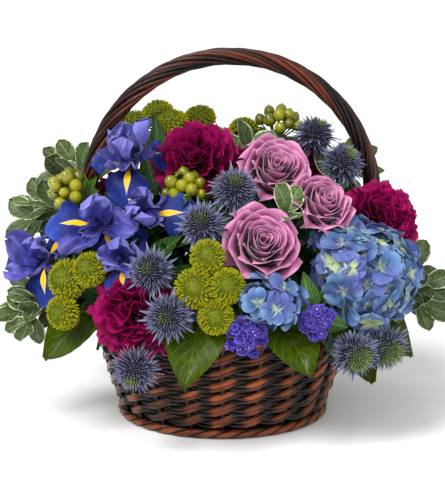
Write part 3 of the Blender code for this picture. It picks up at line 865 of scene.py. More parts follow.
def iris_fall_skin():
    """Silky fall of a Dutch iris: deep blue, fine radiating veins and a yellow signal stripe."""
    material = petal_skin("iris_fall_silk", "#080c3c", "#142878", "#3850ae", 0.48, 0.1, 0.8, 0.46, 0.14,
                          0.7, (0.2, 0.6, 1.0))
    tree = material.node_tree
    shader = tree.nodes["Principled BSDF"]
    blue = shader.inputs["Base Color"].links[0].from_socket
    parts, grain = growth(tree)
    metres = add_node(tree, "SeparateXYZ", {"Vector": grain.outputs["Vector"]})
    side = add_node(tree, "Math", {0: metres.outputs["X"]}, operation="ABSOLUTE")
    start = add_node(tree, "MapRange", {"Value": parts.outputs["Y"], "From Min": 0.14, "From Max": 0.26,
                     "To Min": 0.7, "To Max": 1.0})
    end = add_node(tree, "MapRange", {"Value": parts.outputs["Y"], "From Min": 0.28, "From Max": 0.76,
                   "To Min": 1.0, "To Max": -0.15})
    taper = add_node(tree, "Math", {0: start.outputs[0], 1: end.outputs[0]}, operation="MULTIPLY")
    half = add_node(tree, "Math", {0: taper.outputs[0], 1: 5.0 * MM}, operation="MULTIPLY")
    inside = add_node(tree, "Math", {0: half.outputs[0], 1: side.outputs[0]}, operation="SUBTRACT")
    glow = add_node(tree, "MapRange", {"Value": inside.outputs[0], "From Min": -0.5 * MM,
                                       "From Max": 0.1 * MM,
                    "To Max": 0.6})
    halo = add_node(tree, "Mix", {"Factor": glow.outputs[0], 6: blue, 7: linear("#cfcef0")},
                    data_type="RGBA")
    mark = add_node(tree, "MapRange", {"Value": inside.outputs[0], "From Min": 0.0, "From Max": 0.4 * MM})
    stripe = add_node(tree, "Mix", {"Factor": mark.outputs[0], 6: halo.outputs[2], 7: linear("#eeb408")},
                      data_type="RGBA")
    tree.links.new(stripe.outputs[2], shader.inputs["Base Color"])
    return material


# A petal is (turn round the flower from straight down, slope at its end, length in mm)
IRIS_FALLS = ((0, -80, 58), (120, -80, 56), (-120, -80, 56))
IRIS_STANDARDS = ((60, 66, 72, 48), (180, 70, 60, 50), (-60, 64, 78, 48))
# Leaves that stand up behind the highest iris: (where on its stem, tip from the head in mm)
IRIS_LEAVES = ((9, (28, 52, 30)), (9, (17, 40, 2)), (8, (22, 46, 14)))
# (the way a flower looks, its shift in mm, falls, standards); a standard also has its slope at the base
IRIS_POSE = {
    "iris_1": ((-0.12, -0.60, 0.80), (6, 0, -2), ((4, -92, 60), (-104, -62, 50), (118, -72, 46)),
               ((-48, 60, 92, 46), (40, 66, 98, 44), (112, 52, 84, 60), (-165, 74, 58, 46))),
    "iris_2": ((0.14, -0.84, 0.52), (-9, -8, -2), ((82, -6, 62), (-150, -120, 38), (-30, -125, 34)),
               ((168, 60, 88, 40), (-48, 56, 80, 28), (-100, 60, 62, 30))),
    "iris_3": ((-0.15, -0.85, 0.48), (12, 0, -4), ((-86, -38, 58), (30, -115, 38), (150, -110, 38)),
               ((176, 62, 84, 48), (80, 50, 6, 46), (-42, 46, -20, 46))),
    "iris_4": ((-0.42, -0.84, 0.34), (13, -11, 1), ((12, -66, 52), (138, -40, 46), (-128, -100, 38)),
               ((-64, 48, 6, 42), (-112, 52, 30, 46), (170, 60, 80, 40))),
    "iris_5": ((-0.10, -0.85, 0.50), (-6, 6, 4), ((0, -70, 44), (100, -105, 38), (-100, -105, 38)),
               ((180, 62, 84, 34), (70, 54, 30, 26), (-70, 54, 30, 28))),
    "iris_6": ((0.0, 0.72, 0.70), (0, 0, 0), IRIS_FALLS, IRIS_STANDARDS),
}


def build_irises():
    fall = iris_fall_skin()
    # Iris standards and style arms, living petal: lilac silk with darker long veins and a soft sheen
    standard = petal_skin("iris_standard_silk", "#18165e", "#3a388e", "#7674c4", 0.42, 0.2, 0.9, 0.28,
                          0.10,
                          0.9, (0.05, 0.5, 1.0))
    green = waxy_leaf("iris_spathe_and_stem", "#16300f", "#2b4d1a", "#567a35", "#2b4d1a", 9.0, 0.45, 6.0)
    for number, node in enumerate(nodes_named("iris_")):
        rng = random.Random(300 + number)
        centre = heads_of(node, 34 * MM)[0][0]
        axis = facing(centre)
        looks, shift, falls, standards = IRIS_POSE[node]
        looks = unit(np.array(looks))
        rows = frame_for(looks)
        throat = centre - looks * 14 * MM + np.array(shift) * MM
        sheaf = Sheaf()
        for turn, end, length in falls:
            turn = math.radians(turn)
            iris_fall(sheaf, throat, rows, turn, end, length * MM, number, rng)
            # a flower that faces forward shows its falls, so its style arms stay short
            arm = min(length * (0.72 if looks[2] > 0.65 else 0.42), 40) * MM
            iris_style_arm(sheaf, throat, rows, turn + rng.uniform(-0.12, 0.12), arm, number, rng)
        for turn, start, end, length in standards:
            iris_standard(sheaf, throat, rows, math.radians(turn), start, end, length * MM, number + turn,
                          rng)
        end = throat - axis * 10 * MM
        add_stem(sheaf, end, 3.0 * MM, 2)
        sheaf.tube([end, end + axis * 5 * MM, throat - looks * 4 * MM, throat - looks * 1 * MM],
                   [3.2 * MM, 4.6 * MM, 4.2 * MM, 2.4 * MM], 8, 0.5, 2)
        top = number == 0
        fill_leaves(sheaf, end, rng, 30 if top else 16, 58 * MM, 17 * MM if top else 12 * MM, 2, 0.42,
                    0.80 if top else 0.92)
        if top:
            line = stem_line(end, 16)
            for place, from_head in IRIS_LEAVES:
                tip = centre + np.array(from_head) * MM
                way = tip - line[place]
                leaf_blade(sheaf, line[place], leaf_frame(way, VIEWER), float(np.linalg.norm(way)),
                           12 * MM,
                           0.0, 0.15, 0.25, 2, 9, 5, 0.0, 0.8, 0.5)
        stand_for(sheaf.build(f"dutch_{node}", [fall, standard, green]), "iris_petal", node)


def mum_head(sheaf, centre, rows, radius, rng):
    """A button bloom: quilled florets set by the golden angle over a dome, greener in the middle."""
    count = 380
    for i in range(count):
        share = (i + 0.5) / count
        polar = math.acos(1 - 1.62 * share) + rng.uniform(-0.07, 0.07)
        turn = i * GOLDEN + rng.uniform(-0.14, 0.14)
        out = spoke(turn, math.sin(polar), math.cos(polar))
        flat = np.array([1, 1, 0.84])
        reach = radius * (0.90 + 0.10 * share + rng.uniform(-0.035, 0.035))
        root = out * radius * 0.55 * flat
        tip = out * flat * reach
        line = bent_line(root, (root + tip) / 2 + np.array([0, 0, radius * 0.05]), tip, 4)
        thick = radius * (0.030 + 0.028 * share)
        sheaf.tube(centre + line @ rows, np.array([0.7, 0.9, 1.15, 0.35]) * thick, 5, rng.random(),
                   2 if share < 0.12 + rng.uniform(-0.05, 0.05) else 0)
    core = np.linspace(-0.6, 0.66, 8)[:, None] * np.array([[0, 0, radius]])
    widths = np.array([0.25, 0.56, 0.74, 0.80, 0.79, 0.68, 0.48, 0.2]) * radius
    sheaf.tube(centre + core @ rows, widths, 14, 0.1, 2)


def build_mums():
    # Button chrysanthemum, living floret: matt olive green, yellower at the tips
    lime = petal_skin("button_mum_floret", "#343c02", "#6c7002", "#a2a004", 0.6, 0.1, 0.5, 0.12, 0.03,
                      0.1)
    middle = petal_skin("button_mum_green_middle", "#263604", "#4a5804", "#6e7808", 0.6, 0.1, 0.5, 0.12,
                        0.03, 0.1)
    green = waxy_leaf("mum_leaf_and_stem", "#12300c", "#244a14", "#456a26", "#244a14", 9.0, 0.55, 4.0)
    for number, node in enumerate(nodes_named("button_mum_spray")):
        rng = random.Random(400 + number)
        sheaf = Sheaf()
        heads = heads_of(node, 15 * MM)
        main = np.mean([centre for centre, _ in heads], axis=0)
        fork = knee_for(main) if is_low(main) else HEART + (main - HEART) * 0.55
        sheaf.tube(np.linspace(HEART + unit(fork - HEART) * STEM_START, fork, 5), 2.3 * MM, 6, 0.5, 1)
        for centre, plain in heads:
            axis = turned_to_viewer(facing(centre), 0.3)
            radius = plain * 1.24
            mum_head(sheaf, centre, frame_for(axis), radius, rng)
            over = (fork + centre - axis * 1.2 * plain) / 2 + unit(fork - HEART) * 4 * MM
            sheaf.tube(bent_line(fork, over, centre - axis * 0.3 * radius, 8), 1.4 * MM, 6, 0.5, 1)
            for i in range(6):
                out = frame_for(axis, math.tau * i / 6)[0]
                leaf_blade(sheaf, centre - axis * 0.3 * radius, leaf_frame(out + axis * 0.2, axis),
                           radius * 0.6, 2.5 * MM, 0.0, 0.2, 0.5, 1, 4, 3)
        high = number == 0
        fill_leaves(sheaf, main - facing(main) * 14 * MM, rng, 34 if high else 16, 46 * MM, 17 * MM, 1,
                    0.5, 0.92 if high else 0.97)
        stand_for(sheaf.build(f"green_{node}", [lime, green, middle]), "mum_petal", node)


def thistle_head(sheaf, centre, rows, radius, rng, green_cone):
    """A dense cone of short spines over a ruff of long needle bracts."""
    core = 0.52 * radius
    tall = 0.62 * radius
    shape = np.linspace(-0.75, 0.98, 8)
    # painted shade: the core ball under the spines takes the dark end of the colours
    sheaf.tube(centre + (shape[:, None] * np.array([[0, 0, tall]])) @ rows,
               core * np.sqrt(1 - shape ** 2), 14, 0.05,
               1 if green_cone else 0, None, 1.0, np.full(8, 0.15))
    count = 360
    for i in range(count):
        share = (i + 0.5) / count
        turn = i * GOLDEN
        z = 1.0 - 1.55 * share
        ring = math.sqrt(max(0.0, 1 - z * z))
        way = spoke(turn, ring, z)
        root = way * np.array([core, core, tall]) * 0.96
        look = unit(way + np.array([0, 0, 0.25]))
        tip = root + look * radius * rng.uniform(0.18, 0.36)
        cap = share < (0.34 if green_cone else 0.07)
        sheaf.tube(centre + np.array([root, (root + tip) / 2, tip]) @ rows,
                   np.array([1.0, 0.75, 0.1]) * 0.032 * radius, 4, rng.random(), 1 if cap else 0)
    for i in range(170):
        share = (i + rng.random()) / 170
        turn = i * GOLDEN
        rise = 0.95 - 1.85 * share + rng.uniform(-0.15, 0.15)
        if green_cone:
            rise = min(rise, 0.55)
        length = radius * rng.uniform(0.42, 0.62) * (1.0 if rise < 0.8 else 0.7)
        way = spoke(turn, math.cos(rise), math.sin(rise))
        root = way * np.array([core, core, tall]) * 0.85
        tip = root + way * length
        bow = np.array([0, 0, 1.0]) * length * rng.uniform(-0.05, 0.15)
        line = bent_line(root, (root + tip) / 2 + bow, tip, 5)
        sheaf.tube(centre + line @ rows, np.array([0.9, 1.2, 1.0, 0.6, 0.08]) * radius * 0.026, 4,
                   rng.random(), 0)
    for i in range(18):
        turn = math.tau * i / 18 + rng.uniform(-0.15, 0.15)
        rise = rng.uniform(-0.35, 0.25)
        way = spoke(turn, math.cos(rise), math.sin(rise))
        base = centre + (way * core * 0.6) @ rows
        leaf_blade(sheaf, base, leaf_frame(way @ rows, rows[2]), radius * rng.uniform(0.75, 1.0),
                   radius * 0.07,
                   rng.uniform(-0.2, 0.15), 0.4, rng.random(), 0, 7, 3)


def build_thistles():
    # Eryngium, dry spiny bracts: dark grey violet, near black at the spine bases as painted shade deep in
    # the head, with pale steel blue needle tips that are partly their own colour and partly painted
    # highlight
    steel = petal_skin("eryngium_bract_steel_blue", "#10111e", "#2f314a", "#9498b8", 0.5, 0.1, 0.5, 0.2,
                       0.03,
                       0.2, (0.0, 0.45, 1.0))
    cone = petal_skin("eryngium_cone", "#344228", "#687e4a", "#9eac74", 0.6, 0.1, 0.5, 0.2, 0.03)
    green = waxy_leaf("eryngium_stem", "#24382c", "#3c5446", "#5c7664", "#3c5446", 9.0, 0.5, 4.0)
    for number, node in enumerate(nodes_named("eryngium_")):
        rng = random.Random(500 + number)
        sheaf = Sheaf()
        heads = heads_of(node, 17 * MM)
        main = np.mean([centre for centre, _ in heads], axis=0)
        fork = None
        if len(heads) > 1:
            fork = knee_for(main) if is_low(main) else HEART + (main - HEART) * 0.55
            sheaf.tube(np.linspace(HEART + unit(fork - HEART) * STEM_START, fork, 6), 2.3 * MM, 6, 0.5, 2)
        for centre, plain in heads:
            axis = turned_to_viewer(facing(centre), 0.3)
            thistle_head(sheaf, centre - axis * 1 * MM, frame_for(axis), plain * 1.55, rng, number == 6)
            if fork is None:
                add_stem(sheaf, centre, 1.8 * MM, 2)
            else:
                over = (fork + centre - axis * 1.2 * plain) / 2 + unit(fork - HEART) * 4 * MM
                sheaf.tube(bent_line(fork, over, centre, 8), 1.4 * MM, 6, 0.5, 2)
        fill_leaves(sheaf, main - facing(main) * 20 * MM, rng, 8, 34 * MM, 9 * MM, 2, 0.5, 0.85)
        stand_for(sheaf.build(f"thistle_{node}", [steel, cone, green]), "thistle_bract", node)


def berry(sheaf, centre, axis, radius, tone):
    """A pointed berry in its small calyx."""
    shape = np.linspace(-1, 1, 9)
    line = centre + np.outer(shape * radius * 1.12, axis)
    widths = radius * np.sqrt(np.clip(1 - shape ** 2, 0.01, 1)) * (1 - 0.12 * shape)
    sheaf.tube(line, widths, 12, tone, 0)
    tip = centre + axis * radius * 1.1
    sheaf.tube([tip - axis * 0.4 * MM, tip + axis * 1.6 * MM], [0.5 * MM, 0.15 * MM], 5, tone, 2)
    for i in range(5):
        rows = frame_for(axis, math.tau * i / 5)
        leaf_blade(sheaf, centre - axis * radius * 1.02, frame_for(unit(rows[0] + axis * 0.15)),
                   radius * 1.25,
                   radius * 0.42, -0.35, 0.3, 0.5, 1, 5, 3)


def build_berries(settings):
    # Hypericum berry, waxy skin: smooth olive yellow with a small soft highlight
    skin = grained("hypericum_berry_waxy_skin", "#4c5002", "#8e8c08", 0.28, 6.0, 0.05, 0.25)
    green = waxy_leaf("hypericum_leaf", "#1f3d0c", "#3f6618", "#6f8c38", "#3f6618", 9.0, 0.4, 5.0)
    brown = grained("dried_style_tip", "#3c2c12", "#6a5020", 0.7, 1.0, 0.1)
    for number, node in enumerate(nodes_named("hypericum_")):
        rng = random.Random(600 + number)
        centre, plain = heads_of(node, 22 * MM)[0]
        centre = centre + np.array([0, 0, RAISED.get(node, 0)])
        axis = turned_to_viewer(facing(centre), 0.25)
        rows = frame_for(axis)
        sheaf = Sheaf()
        fork = centre - axis * plain * 1.1
        add_stem(sheaf, fork, 1.7 * MM, 1)
        for i in range(13):
            share = (i + 0.5) / 13
            polar = 1.45 * math.sqrt(share)
            turn = i * GOLDEN
            out = spoke(turn, math.sin(polar), math.cos(polar))
            spot = centre + (out * plain * np.array([1.02, 1.02, 0.95]) * rng.uniform(0.82, 1.08)) @ rows
            size = settings.berry_radius * rng.uniform(0.82, 1.18)
            way = unit(spot - fork + axis * 6 * MM)
            berry(sheaf, spot, way, size, rng.random())
            sheaf.tube(bent_line(fork, (fork + spot) / 2 + axis * 3 * MM, spot - way * size, 6), 0.8 * MM,
                       5, 0.5, 1)
        for i in range(8):
            out = frame_for(axis, math.tau * i / 8 + 0.4)[0]
            leaf_blade(sheaf, fork, leaf_frame(out + axis * 0.5, axis), 30 * MM, 9 * MM, 0.15, 0.25,
                       rng.random(), 1)
        fill_leaves(sheaf, fork, rng, 7, 40 * MM, 13 * MM, 1)
        stand_for(sheaf.build(f"berries_{node}", [skin, green, brown]), "berry_skin", node)


def hydrangea_floret(sheaf, centre, rows, length, tone, rng):
    """Four round overlapping sepals with a small bead in the middle."""
    for i in range(4):
        along, across = unit_grid(10, 11)
        v = along[:, 0]
        size = length * rng.uniform(0.85, 1.15)
        rise = rng.uniform(-0.1, 0.42)
        spine = np.stack([size * v, size * (rise * v - 0.25 * v ** 3)], axis=-1)
        width = size * (0.10 + 0.52 * np.sin(math.pi * (0.04 + 0.84 * v)) ** 0.75)
        width[-1] = size * 0.20
        lift = size * (0.16 * across ** 2 + 0.07 * np.sin(6 * across + 4 * along + i) * along)
        points = petal(across, spine, width, lift)
        points[..., 2] += 0.4 * MM * i
        turn = math.pi / 2 * i + rng.uniform(-0.15, 0.15)
        sheaf.sheet(centre + turned(points, turn) @ rows, along, across, (size * 0.6, size),
                    min(1, max(0, tone + rng.uniform(-0.15, 0.15))), 0, 0.4 * MM)
    bead = np.linspace(-0.5, 1.6, 5)[:, None] * np.array([[0, 0, 1.3 * MM]])
    sheaf.tube(centre + bead @ rows, np.array([0.4, 1.0, 1.3, 1.0, 0.3]) * MM, 8, rng.random(), 1)


def build_hydrangeas(settings):
    sepal = hydrangea_skin()
    bead = grained("hydrangea_bead", "#4a68b4", "#a8bce0", 0.4, 0.6, 0.05)
    green = waxy_leaf("hydrangea_leaf_and_stem", "#14300c", "#2b5018", "#557a30", "#2b5018", 9.0, 0.45,
                      8.0)
    for number, node in enumerate(nodes_named("hydrangea_")):
        rng = random.Random(700 + number)
        low, high = box_of(node)
        large = (high - low).min() > 80 * MM
        centre, plain = heads_of(node, 54 * MM if large else 24 * MM)[0]
        axis = turned_to_viewer(facing(centre), 0.2)
        rows = frame_for(axis)
        radius = plain * (1.12 if large else 1.2)
        length = settings.sepal_length * (1.12 if large else 0.95)
        count = 50 if large else 9
        sheaf = Sheaf()
        fork = centre - axis * radius * 0.8
        add_stem(sheaf, fork, 3.0 * MM if large else 1.8 * MM, 2)
        for i in range(count):
            share = (i + 0.5) / count
            polar = math.acos(1 - 1.45 * share)
            turn = i * GOLDEN
            out = spoke(turn, math.sin(polar), math.cos(polar))
            spot = centre + (out * radius * np.array([1, 1, 0.86]) * rng.uniform(0.74, 1.06)) @ rows
            sway = np.array([rng.uniform(-0.6, 0.6), rng.uniform(-0.6, 0.6), rng.uniform(-0.3, 0.3)])
            way = unit(unit(spot - centre) + sway)
            hydrangea_floret(sheaf, spot, frame_for(way, rng.uniform(0, 6)), length, rng.random(), rng)
            sheaf.tube(bent_line(fork, (fork + spot) / 2 + axis * 6 * MM, spot, 6), 0.8 * MM, 5, 0.5, 2)
        fill_leaves(sheaf, fork, rng, 9 if large else 6, 66 * MM if large else 40 * MM,
                    26 * MM if large else 14 * MM, 2)
        stand_for(sheaf.build(f"blue_{node}", [sepal, bead, green]), "hydrangea_sepal", node)


def build_statice():
    # Statice, papery calyx: dry, crinkled, violet blue with a few pale florets in it
    paper = petal_skin("statice_papery_calyx", "#180e58", "#3a2a98", "#6a58c0", 0.6, 0.1, 0.5, 0.15, 0.04)
    white = grained("statice_inner_flower", "#7c68c8", "#a898dc", 0.6, 0.5, 0.03)
    green = waxy_leaf("statice_winged_stem", "#1f3d10", "#3c6022", "#66864a", "#3c6022", 9.0, 0.5, 4.0)
    for number, node in enumerate(nodes_named("statice_")):
        rng = random.Random(800 + number)
        centre, plain = heads_of(node, 20 * MM)[0]
        axis = turned_to_viewer(facing(centre), 0.5)
        rows = frame_for(axis)
        radius = plain * (1.55 if number == 0 else 1.15)
        sheaf = Sheaf()
        fork = centre - axis * radius * 0.9
        add_stem(sheaf, fork, 1.8 * MM, 2)
        clumps = 16
        for clump in range(clumps):
            polar = 1.5 * math.sqrt((clump + 0.3) / clumps)
            turn = clump * GOLDEN
            out = spoke(turn, math.sin(polar), math.cos(polar))
            wide = np.array([1.35, 1.0, 0.8]) if number == 0 else np.array([1.1, 0.95, 0.75])
            heart = out * radius * rng.uniform(0.50, 1.02) * wide
            sheaf.tube(centre + bent_line(np.array([0, 0, -radius * 0.9]), heart * 0.4, heart, 5) @ rows,
                       0.9 * MM, 5, 0.5, 2)
            for i in range(13):
                share = (i + 0.5) / 13
                small = math.acos(1 - 1.7 * share)
                spin = i * GOLDEN + clump
                way = spoke(spin, math.sin(small), math.cos(small))
                spot = heart + way * radius * 0.22 * rng.uniform(0.7, 1.3)
                look = unit(way + out * 0.6 + np.array([rng.uniform(-.5, .5), rng.uniform(-.5, .5), 0]))
                statice_floret(sheaf, centre + spot @ rows, frame_for(look @ rows, rng.uniform(0, 6)),
                               rng)
        fill_leaves(sheaf, fork, rng, 5, 36 * MM, 10 * MM, 2)
        stand_for(sheaf.build(f"violet_{node}", [paper, white, green]), "statice_calyx", node)


def statice_floret(sheaf, centre, rows, rng):
    """A papery funnel with five points and a tiny pale flower in it."""
    wide, deep = 3.1 * MM * rng.uniform(0.85, 1.15), 3.6 * MM
    along, across = unit_grid(4, 21)
    angle = (across + 1) * math.pi * 0.999
    points_out = 0.28 * np.abs(np.sin(2.5 * angle)) * along ** 2
    ring = wide * (0.12 + 0.78 * along ** 1.3 + points_out)
    points = ring_points(ring, angle, deep * (along - 1))
    sheaf.sheet(centre + points @ rows, along, across, (wide, deep), rng.random(), 0, 0.22 * MM)
    if rng.random() < 0.25:
        bead = np.linspace(-0.5, 0.6, 4)[:, None] * np.array([[0, 0, 1.2 * MM]])
        sheaf.tube(centre + bead @ rows, np.array([0.3, 0.8, 0.9, 0.3]) * MM, 6, rng.random(), 1)


def build_pittosporum():
    # Variegated pittosporum, waxy leaf: grey green with an irregular cream margin
    leaf = waxy_leaf("variegated_pittosporum_leaf", "#34451f", "#5c6f42", "#74875a", "#ccd0ac", 1.13,
                     0.42, 6.0)
    twig = waxy_leaf("pittosporum_twig", "#3a3020", "#544630", "#74644a", "#544630", 9.0, 0.6, 3.0)
    for number, node in enumerate(nodes_named("pittosporum_")):
        rng = random.Random(900 + number)
        tip = far_tip(node)
        axis = facing(tip)
        sheaf = Sheaf()
        end = tip - axis * (34 if node == "pittosporum_sprig_5" else 22) * MM
        add_stem(sheaf, end, 1.5 * MM, 1)
        side_twigs = [(end, axis, 4 if node == "pittosporum_sprig_5" else 7)]
        for i in range(4):
            out = frame_for(axis, 1.7 * i + rng.uniform(0, 1))[0]
            base = end - axis * (20 + 9 * i) * MM
            way = unit(axis + out * 0.9)
            close = base + way * 24 * MM
            sheaf.tube(bent_line(base, base + axis * 8 * MM, close, 6), 1.0 * MM, 5, 0.5, 1)
            side_twigs.append((close, way, 4))
        if node == "pittosporum_sprig_5":
            roses = [heads_of(name, 32 * MM)[0][0] for name in ("rose_1", "rose_2", "rose_3")]
            gap = np.mean(roses, axis=0) + VIEWER * 12 * MM
            sheaf.tube(bent_line(stem_line(end, 16)[6], gap - VIEWER * 30 * MM, gap, 8), 1.0 * MM, 5, 0.5,
                       1)
            side_twigs.append((gap, unit(VIEWER + np.array([0.3, 0, 0.6])), 4))
        for place, way, count in side_twigs:
            for i in range(count):
                out = frame_for(way, i * GOLDEN + number)[0]
                back = place - way * (4.6 * MM * i)
                lean = 0.40 + 0.80 * i / count + rng.uniform(-0.1, 0.1)
                look = unit(way * math.cos(lean) + out * math.sin(lean))
                size = rng.uniform(0.85, 1.15)
                leaf_blade(sheaf, back, leaf_frame(look,
                                                   way * 0.7 + VIEWER * 0.7 + np.array([0, 0, 0.5])),
                           32 * MM * size, 10 * MM * size, rng.uniform(-0.1, 0.3), 0.2, rng.random(), 0,
                           12, 9, 0.10, 0.62, 0.62)
        stand_for(sheaf.build(f"variegated_{node}", [leaf, twig]), "pittosporum_leaf", node)


def build_leaves():
    # Salal, waxy leaf: satin mid green, faint veins, a broad soft highlight
    glossy = waxy_leaf("salal_leaf_waxy", "#263402", "#3c4e02", "#4a5c08", "#3c4e02", 9.0, 0.28, 11.0)
    for number, node in enumerate(nodes_named("salal_leaf_")):
        rng = random.Random(1000 + number)
        tip = far_tip(node)
        reach = math.hypot(tip[0], tip[1])
        start = (RIM_HIGH[0] - 3.5 * MM, RIM_HIGH[2] + 3.5 * MM)
        spine = curve_through([start, (KNEE_REACH + 4 * MM, RIM_HIGH[2] - 2 * MM),
                               ((KNEE_REACH + reach) / 2 + 4 * MM, (RIM_HIGH[2] + tip[2]) / 2),
                               (reach, tip[2])], 28)
        along, across = unit_grid(28, 17)
        v = along[:, 0]
        half = 32 * MM
        width = half * np.maximum(np.sin(math.pi * v ** 0.80) ** 0.8 * (1 - 0.34 * v), 0.03)
        saw = 0.012 * np.sin(along * 110) * np.abs(across) ** 6
        lift = half * (0.15 * np.abs(across) ** 1.3 + 0.07 * np.sin(6 * along + number) * across)
        points = petal(across, spine, width, lift)
        points[..., 1] *= 1 + saw
        points[..., 1] += 7 * MM * math.sin(3.0 * number + 1) * (along ** 2)
        angle = math.atan2(tip[1], tip[0])
        roll = -1.0 * math.cos(angle) if tip[1] < 0 else 0.0
        points[..., 2] -= roll * points[..., 1] * along
        sheaf = Sheaf()
        sheaf.sheet(turned(points, angle), along, across, (half, 90 * MM), 0.4 + 0.4 * rng.random(), 0,
                    0.6 * MM)
        sideways = np.array([math.cos(angle), math.sin(angle), 0])
        root = HEART + unit(sideways * start[0] + np.array([0, 0, start[1]]) - HEART) * 60 * MM
        sheaf.tube(np.linspace(root, sideways * (start[0] + 2 * MM) + np.array([0, 0, start[1]]), 6),
                   1.6 * MM, 6, 0.5)
        stand_for(sheaf.build(f"glossy_{node}", [glossy]), "salal_leaf", node)


def leaf_frame(way, face):
    """Rows for a leaf that grows along way with its upper side towards face; its X is the under side."""
    z = unit(np.asarray(way, float))
    face = np.asarray(face, float)
    under = z * np.dot(face, z) - face
    if np.linalg.norm(under) < 0.05:
        return frame_for(z)
    x = unit(under)
    return np.array([x, np.cross(z, x), z])


def turned_to_viewer(axis, share):
    """A florist faces the front heads a little towards the viewer; the ones behind stay as they are."""
    if axis[1] > 0.45:
        return axis
    return unit(axis * (1 - share) + VIEWER * share)


def arc_spine(length, start, finish, count, hold=1.0):
    """Spine of (out, up) points; its slope above the level goes from start to finish, in degrees."""
    v = (np.arange(count - 1) + 0.5) / (count - 1)
    angle = np.radians(start + (finish - start) * v ** hold)
    step = length / (count - 1)
    out = np.concatenate([[0], np.cumsum(np.cos(angle))]) * step
    up = np.concatenate([[0], np.cumsum(np.sin(angle))]) * step
    return np.stack([out, up], axis=-1)


def iris_fall(sheaf, throat, rows, turn, end, length, number, rng):
    """A fall: narrow channelled haft, then a broad blade that turns down, wavy, with a soft point."""
    along, across = unit_grid(28, 17)
    v = along[:, 0]
    spine = arc_spine(length, 50, end, 28, 1.1)
    swell = np.clip((v - 0.26) / 0.26, 0, 1)
    swell = swell * swell * (3 - 2 * swell)
    tip = np.clip((v - 0.52) / 0.482, 0, 1)
    blade = np.sqrt(np.clip(1 - tip ** 1.9, 0.0004, 1)) * (1 - 0.10 * tip)
    width = (4.5 + 16.5 * swell) * MM * blade * min(1.0, length / (52 * MM))
    gutter = 0.35 * across ** 2 * (1 - swell[:, None])
    frill = (0.24 * np.sin(11 * along + 2.2 * number) * across ** 3
             + 0.16 * np.sin(19 * along + number) * across ** 4)
    lift = (gutter - 0.20 * across ** 2 * swell[:, None] + frill * swell[:, None]) * 16 * MM
    points = petal(across, spine, width, lift)
    sheaf.sheet(throat + turned(points, turn) @ rows, along, across, (18 * MM, length),
                0.30 + 0.45 * rng.random(), 0, 0.4 * MM)


def iris_style_arm(sheaf, throat, rows, turn, length, number, rng):
    """A style arm: it arches over the fall's haft and ends in two upturned ruffled crests."""
    along, across = unit_grid(22, 21)
    v = along[:, 0]
    slope = np.interp((np.arange(21) + 0.5) / 21, [0, 0.35, 0.62, 1.0], [72, 44, 20, 88])
    step = length / 21
    spine = np.stack([np.concatenate([[0], np.cumsum(np.cos(np.radians(slope)))]) * step,
                      np.concatenate([[0], np.cumsum(np.sin(np.radians(slope)))]) * step + 3 * MM],
                      axis=-1)
    width = (3.5 + 10.5 * v ** 1.3) * MM
    split = np.clip((along - 0.58) / 0.42, 0, 1)
    frill = (0.30 * np.sin(7 * across + 6 * along + number)
             + 0.14 * np.sin(15 * across + number)) * along ** 2
    lift = (frill - 0.45 * across ** 2 * (1 - split)) * 9 * MM
    points = petal(across, spine, width, lift)
    notch = split * (np.exp(-(across / 0.20) ** 2)) * 12 * MM
    points[..., 2] -= notch
    points[..., 0] -= notch * 0.4
    points[..., 1] += np.sign(across) * split * 2.5 * MM
    sheaf.sheet(throat + turned(points, turn) @ rows, along, across, (9 * MM, length), rng.random(), 1,
                0.4 * MM)


def iris_standard(sheaf, throat, rows, turn, start, end, length, number, rng):
    """A standard: it stands between two falls, folded down its middle, crumpled at its wavy edge."""
    along, across = unit_grid(26, 21)
    v = along[:, 0]
    spine = arc_spine(length, start, end, 26, 1.2)
    width = (2.5 + 11.5 * np.sin(math.pi * np.clip(v, 0, 1) ** 1.5) ** 0.75 + 2.0 * v) * MM
    width[-1] *= 0.5
    width[-2] *= 0.8
    crumple = (0.34 * np.sin(7 * across + 8 * along + 1.3 * number) * along
               + 0.34 * np.sin(13 * along + number) * across ** 3
               + 0.12 * np.sin(24 * along + 9 * across + number) * np.abs(across))
    points = petal(across, spine, width, (0.55 * across ** 2 + crumple) * 10 * MM)
    twist = rng.uniform(-0.7, 0.7) * along
    side = points[..., 1].copy()
    points[..., 0] += side * np.sin(twist)
    points[..., 1] = side * np.cos(twist)
    points[..., 2] -= np.exp(-(across / 0.3) ** 2) * along ** 8 * 4 * MM
    sheaf.sheet(throat + turned(points, turn) @ rows, along, across, (11 * MM, length), rng.random(), 1,
                0.4 * MM)


